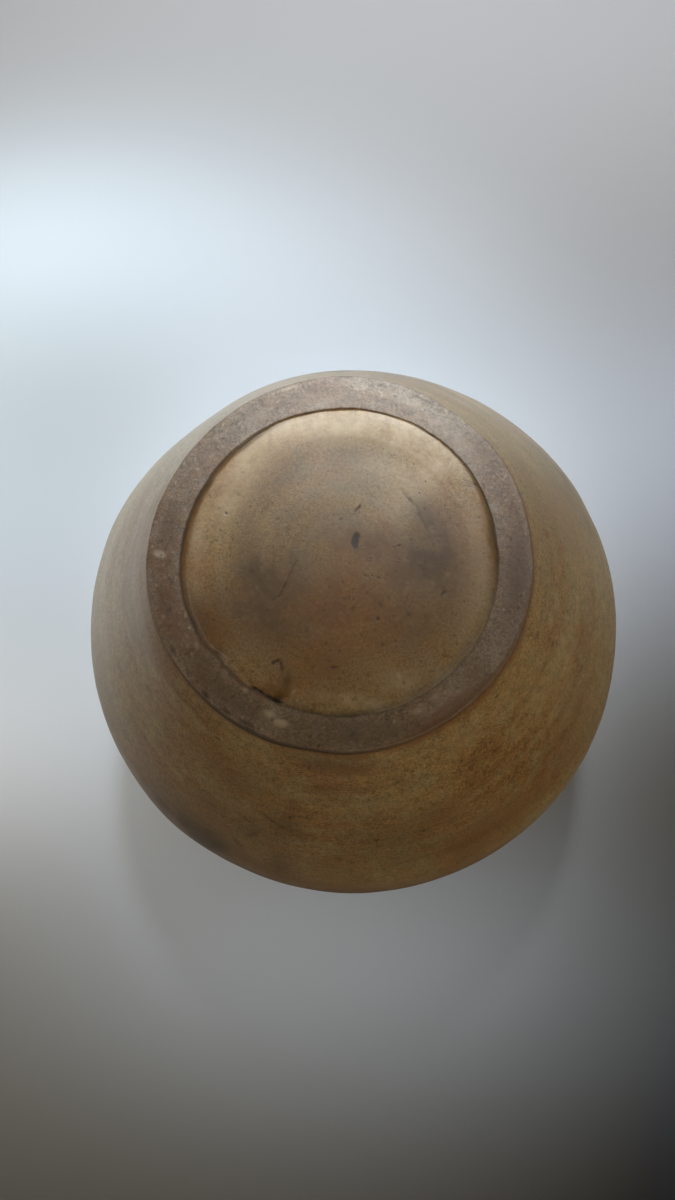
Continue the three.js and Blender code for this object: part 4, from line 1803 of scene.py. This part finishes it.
@dataclass
class RolledLip:
    """Rolled lip: a half-round roll outside, a worn top and an eased inner edge."""

    sizes: JarSizes
    hand: PottersHand
    columns: int = 576
    unevenness: float = 0.00022

    def section(self) -> np.ndarray:
        """Rows from under the roll, over the top and down inside.

        Returns:
            Radius and height of each row.
        """
        s = self.sizes
        half = (s.mouth_level - s.lip_seat) / 2
        over = s.lip_radius - s.neck_radius
        bend = s.lip_ease
        roll = bent((s.neck_radius, s.lip_seat + half), (over, half), (-0.5, 0.5), 34)
        across = np.linspace(s.neck_radius, s.mouth_bore + bend, 8)[1:-1]
        top = np.stack([across, np.full(6, s.mouth_level)], 1)
        eased = bent((s.mouth_bore + bend, s.mouth_level - bend), (bend, bend), (0.5, 1.0), 12)
        level = np.linspace(s.mouth_level - bend, s.lip_seat, 8)[1:]
        return np.vstack([roll, top, eased, np.stack([np.full(7, s.mouth_bore), level], 1)])

    def build(self) -> bpy.types.Object:
        """Makes the lip and dresses it.

        Returns:
            The piece.
        """
        s = self.sizes
        run = Run.through(self.section())
        level = run.section[:, 1:]
        inward = -np.abs(self.hand.lumps.around(angles(self.columns), 2.2, level * 90))
        fade = ease(s.lip_seat, s.lip_seat + 0.0015, level)
        points = self.hand.spin(run, inward * self.unevenness * fade, self.columns)
        noise = self.hand.grain.layered(points, 0.003, 2)
        worn = ease(s.mouth_level - 0.0013, s.mouth_level - 0.0002, points[..., 2] + 0.0003 * noise)
        # Painted shade under the roll.
        under = ease(s.lip_seat + 0.0022, s.lip_seat + 0.0003, points[..., 2])
        traces = {Trace.ALONG: run.along[:, None], Trace.PALE: worn * 0.55, Trace.DARK: under * 0.3}
        traces[Trace.RUST] = ease(0.0, 1.0, worn * (1 - worn) * 3) * 0.6
        skin = Skin(points, run.along, traces, 0, Unwrap.QUARTERS, Patch(0.01, 0.03, 0.97, 0.95))
        return TurnedMesh("rolled_lip_skin", [skin], ring=True).build([BODY_GLAZE.make()])


@dataclass(frozen=True)
class Lamp:
    """A square soft lamp."""

    name: str
    place: tuple[float, float, float]
    aim: tuple[float, float, float]
    size: float
    watts: float
    colour: Colour = (1.0, 1.0, 1.0)
    spread: float = 180.0  # degrees

    def build(self) -> None:
        """Adds the lamp to the scene."""
        data = bpy.data.lights.new(self.name, "AREA")
        data.size = self.size
        data.energy = self.watts
        data.color = self.colour
        data.spread = math.radians(self.spread)
        lamp = bpy.data.objects.new(self.name, data)
        lamp.location = self.place
        lamp.rotation_mode = "QUATERNION"
        lamp.rotation_quaternion = (Vector(self.aim) - Vector(self.place)).to_track_quat("-Z", "Y")
        bpy.context.scene.collection.objects.link(lamp)


@dataclass(frozen=True)
class Glow:
    """A soft round patch on the sheet: painted sheen, or painted shade where it dims the sheet."""

    x: float
    y: float
    wide: float
    tall: float
    colour: Colour

    def paint(self, bench: Bench) -> bpy.types.NodeSocket:
        """Adds the patch's nodes.

        Args:
            bench: The node tree.

        Returns:
            The patch's colour.
        """
        axes = bench.axes()
        u = bench.sums("MULTIPLY", bench.sums("SUBTRACT", axes[0], self.x), 1 / self.wide)
        v = bench.sums("MULTIPLY", bench.sums("SUBTRACT", axes[1], self.y), 1 / self.tall)
        square = bench.sums("ADD", bench.sums("MULTIPLY", u, u), bench.sums("MULTIPLY", v, v))
        return bench.brighten(self.colour, bench.sums("EXPONENT", bench.sums("MULTIPLY", square, -1.0)))


@dataclass(frozen=True)
class SkyPatch:
    """A soft round patch of light in the surroundings."""

    toward: tuple[float, float, float]
    inner: float  # degrees from its middle at which it starts to fade
    outer: float  # degrees from its middle at which it has faded out
    colour: Colour

    def paint(self, bench: Bench) -> bpy.types.NodeSocket:
        """Adds the patch's nodes.

        Args:
            bench: The node tree.

        Returns:
            The patch's colour.
        """
        near = bench.vectors("DOT_PRODUCT", bench.place, Vector(self.toward).normalized())
        low = math.cos(math.radians(self.outer))
        high = math.cos(math.radians(self.inner))
        return bench.brighten(self.colour, bench.window(near, low, high))


@dataclass
class Studio:
    """Pale floor and sheet, soft lamps and the camera.

    The floor is open to whatever comes up through it, so the foot can be looked at from
    below. Only what has come up that way sees the sheet that the jar then stands on.
    """

    sizes: JarSizes
    floor_tone: str = "dfe0e0"
    sheet_tone: str = "a9abad"
    sheet_darkest: Colour = (0.08, 0.08, 0.08)  # least that its painted shade leaves
    sky: Colour = (0.74, 0.76, 0.78)
    sky_light: float = 0.5  # how strongly the sky lights the object, beside how it looks
    horizon: tuple[float, float] = (-0.12, -0.02)  # slopes between which the sky begins
    floor_layers: int = 2  # a way up through the floor crosses both
    floor_gap: float = 0.0005
    floor_half: float = 12.0
    floor_fade: tuple[float, float] = (0.30, 1.1)  # metres from the jar
    sheet_half: float = 2.0
    lens: float = 28.0
    sensor: float = 36.0
    eye: tuple[float, float, float] = (-0.011476, -0.064146, -0.232033)
    forward: tuple[float, float, float] = (0.050343, 0.221164, 0.973936)
    upward: tuple[float, float, float] = (0.0, 0.975173, -0.221445)
    sheen: tuple[Glow, ...] = (
        Glow(0.15, 0.20, 0.13, 0.065, (0.36, 0.46, 0.54)),
        Glow(-0.03, 0.34, 0.40, 0.20, (0.39, 0.42, 0.46)),
        Glow(0.24, 0.06, 0.14, 0.12, (0.48, 0.50, 0.50)),
    )
    dull_sheen: tuple[Glow, ...] = (
        Glow(-0.16, 0.09, 0.08, 0.08, (0.17, 0.20, 0.26)),
        Glow(0.01, -0.12, 0.13, 0.06, (0.14, 0.16, 0.18)),
        Glow(0.16, -0.04, 0.08, 0.05, (0.20, 0.21, 0.22)),
        Glow(0.17, 0.07, 0.07, 0.08, (0.02, 0.08, 0.14)),
        Glow(-0.01, 0.215, 0.09, 0.045, (0.05, 0.055, 0.065)),
    )
    sheen_gloss: float = 1.2  # how much stronger the jar's glaze mirrors the sheen
    # Painted shade on the sheet: darker towards the bottom, a painted shadow of the jar at the lower right,
    # and a dimmer strip just beyond the jar's far side.
    sheet_fade: tuple[Glow, ...] = (
        Glow(0.05, -0.31, 0.60, 0.14, (0.66, 0.64, 0.62)),
        Glow(-0.17, -0.14, 0.13, 0.155, (0.82, 0.86, 0.94)),
        Glow(0.00, 0.135, 0.12, 0.05, (0.20, 0.18, 0.16)),
    )
    sky_patches: tuple[SkyPatch, ...] = (
        SkyPatch((-0.9, 0.0, -0.43), 10, 50, (0.36, 0.33, 0.26)),
        SkyPatch((-0.5, -0.7, -0.5), 10, 50, (0.81, 0.64, 0.43)),
    )

    def lamps(self) -> tuple[Lamp, ...]:
        """The lamps below the floor, for the foot, and above the sheet, for all other sides.

        Returns:
            The lamps.
        """
        belly = (0, 0, self.sizes.belly_height)
        return (
            Lamp("window", (-0.03, 0.36, -0.40), (-0.005, 0.14, 0.0), 0.16, 0.245, (0.82, 0.91, 1.0), 20),
            Lamp("left", (0.60, 0.20, -0.10), (0.10, 0.0, 0.10), 1.2, 2.1, (1.0, 0.88, 0.68)),
            Lamp("right", (-0.50, 0.40, -0.20), (-0.05, 0.05, 0.10), 0.60, 0.12, (0.98, 0.94, 1.0)),
            Lamp("softbox", (-0.30, -0.40, 0.80), belly, 0.6, 3.7, (1.0, 0.99, 0.97)),
            Lamp("side", (0.75, 0.10, 0.45), belly, 0.5, 1.9, (0.97, 0.98, 1.0)),
            Lamp("back", (-0.35, 0.75, 0.55), belly, 0.5, 2.1, (1.0, 0.98, 0.96)),
        )

    def camera(self) -> None:
        """Places the camera below the jar, as in the photograph."""
        data = bpy.data.cameras.new("camera")
        data.lens = self.lens
        data.sensor_width = self.sensor
        data.clip_start = 0.01
        eye = bpy.data.objects.new("camera", data)
        ahead = Vector(self.forward).normalized()
        right = ahead.cross(Vector(self.upward)).normalized()
        up = right.cross(ahead)
        turn = Matrix((right, up, -ahead)).transposed()
        eye.matrix_world = Matrix.Translation(self.eye) @ turn.to_4x4()
        bpy.context.scene.collection.objects.link(eye)
        bpy.context.scene.camera = eye

    def plane(self, name: str, half: float, levels: list[float], upwards: bool) -> bpy.types.Object:
        """Makes a stage object of flat squares.

        Args:
            name: The object's name.
            half: Half of a side.
            levels: Heights of the squares.
            upwards: Whether they face up.

        Returns:
            The object.
        """
        corners = [(-half, -half), (half, -half), (half, half), (-half, half)]
        points = [(x, y, z) for z in levels for x, y in corners]
        order = (0, 1, 2, 3) if upwards else (3, 2, 1, 0)
        faces = [tuple(4 * layer + i for i in order) for layer in range(len(levels))]
        mesh = bpy.data.meshes.new(name)
        mesh.from_pydata(points, [], faces)
        stage = bpy.data.objects.new(name, mesh)
        bpy.context.scene.collection.objects.link(stage)
        return stage

    def came_from_below(self, path: bpy.types.Node, bench: Bench) -> bpy.types.NodeSocket:
        """1 for what has crossed all of the floor's layers on its way, and 0 otherwise."""
        return bench.sums("GREATER_THAN", path.outputs["Transparent Depth"], self.floor_layers - 0.5)

    def floor(self) -> None:
        """A pale floor that fades into the pale surroundings, open from below."""
        bench, material = Bench.material("floor")
        path = bench.node("LightPath")
        matt = bench.node("BsdfDiffuse", {"Color": tone(self.floor_tone)})
        glow = bench.node("Emission", {"Color": self.sky})
        far = bench.window(bench.vectors("LENGTH", bench.place), *self.floor_fade)
        shown = bench.mix_shaders(bench.sums("MULTIPLY", far, path.outputs["Is Camera Ray"]), matt, glow)
        side = bench.node("NewGeometry").outputs["Backfacing"]
        opened = bench.sums("MAXIMUM", side, self.came_from_below(path, bench))
        bench.show(bench.mix_shaders(opened, shown, bench.node("BsdfTransparent")))
        levels = [-self.floor_gap * layer for layer in range(self.floor_layers)]
        self.plane("floor", self.floor_half, levels, upwards=True).data.materials.append(material)

    def sheet(self) -> None:
        """The pale satin sheet that the upturned jar stands on, seen only from below, with painted sheen
        and painted shade.
        """
        bench, material = Bench.material("sheet")
        path = bench.node("LightPath")
        seen = path.outputs["Is Camera Ray"]
        dim = bench.total([patch.paint(bench) for patch in self.sheet_fade])
        kept = bench.vectors("MAXIMUM", bench.vectors("SUBTRACT", (1.0, 1.0, 1.0), dim), self.sheet_darkest)
        pale = bench.node("BsdfDiffuse", {"Color": bench.vectors("MULTIPLY", kept, tone(self.sheet_tone))})
        sheen = [patch.paint(bench) for patch in self.sheen]
        sheen += [bench.brighten(patch.paint(bench), seen) for patch in self.dull_sheen]
        mirrored = bench.sums("MULTIPLY", path.outputs["Is Glossy Ray"], self.sheen_gloss)
        strength = bench.sums("MAXIMUM", seen, mirrored)
        glow = bench.node("Emission", {"Color": bench.total(sheen), "Strength": strength})
        both = bench.node("AddShader", {0: pale.outputs[0], 1: glow.outputs[0]})
        clear = bench.node("BsdfTransparent")
        bench.show(bench.mix_shaders(self.came_from_below(path, bench), clear, both))
        level = [self.sizes.mouth_level + self.floor_gap]
        self.plane("sheet", self.sheet_half, level, upwards=False).data.materials.append(material)

    def world(self) -> None:
        """Pale above the horizon, dim below it but for two soft patches of light."""
        world = bpy.data.worlds.new("surroundings")
        world.use_nodes = True
        bench = Bench(world.node_tree, "OutputWorld", "Generated")
        above = bench.window(bench.axes()["Z"], *self.horizon)
        below = bench.total([patch.paint(bench) for patch in self.sky_patches])
        path = bench.node("LightPath")
        seen = bench.sums("MAXIMUM", path.outputs["Is Camera Ray"], path.outputs["Is Glossy Ray"])
        seen = bench.sums("MAXIMUM", seen, path.outputs["Is Transmission Ray"])
        sky = bench.brighten(self.sky, bench.sums("MULTIPLY_ADD", seen, 1 - self.sky_light, self.sky_light))
        bench.show(bench.node("Background", {"Color": bench.blend(above, below, sky)}))
        bpy.context.scene.world = world

    def build(self) -> None:
        """Sets the stage, the lamps and the camera."""
        self.camera()
        self.floor()
        self.sheet()
        self.world()
        for lamp in self.lamps():
            lamp.build()


@dataclass
class Jar:
    """The whole jar, section by section."""

    sizes: JarSizes = field(default_factory=JarSizes)

    def build(self) -> None:
        """Builds each piece, attaches it to the root body and hides the imported solid of its section."""
        hand = PottersHand(self.sizes)
        outline = Outline(self.sizes)
        sections = (
            (FootRing(self.sizes, hand), "foot_ring", "bare_clay"),
            (BaseSlab(self.sizes, hand, outline), "base_slab", "thin_glaze"),
            (LowerBody(self.sizes, hand, outline), "lower_body", "body_glaze"),
            (UpperBody(self.sizes, hand, outline), "upper_body", "body_glaze"),
            (NeckCollar(self.sizes, hand, outline), "neck_collar", "body_glaze"),
            (RolledLip(self.sizes, hand), "rolled_lip", "body_glaze"),
        )
        for section, node, slot in sections:
            piece = section.build()
            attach(piece, "root")
            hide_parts(node)
            log.info("%s: %d faces", piece.name, len(piece.data.polygons))


def main() -> None:
    """Builds the jar and its stage."""
    logging.basicConfig(level=logging.INFO, format="%(name)s %(message)s")
    bpy.context.scene.view_settings.view_transform = "Standard"
    jar = Jar()
    jar.build()
    Studio(jar.sizes).build()


if __name__ == "__main__":
    main()
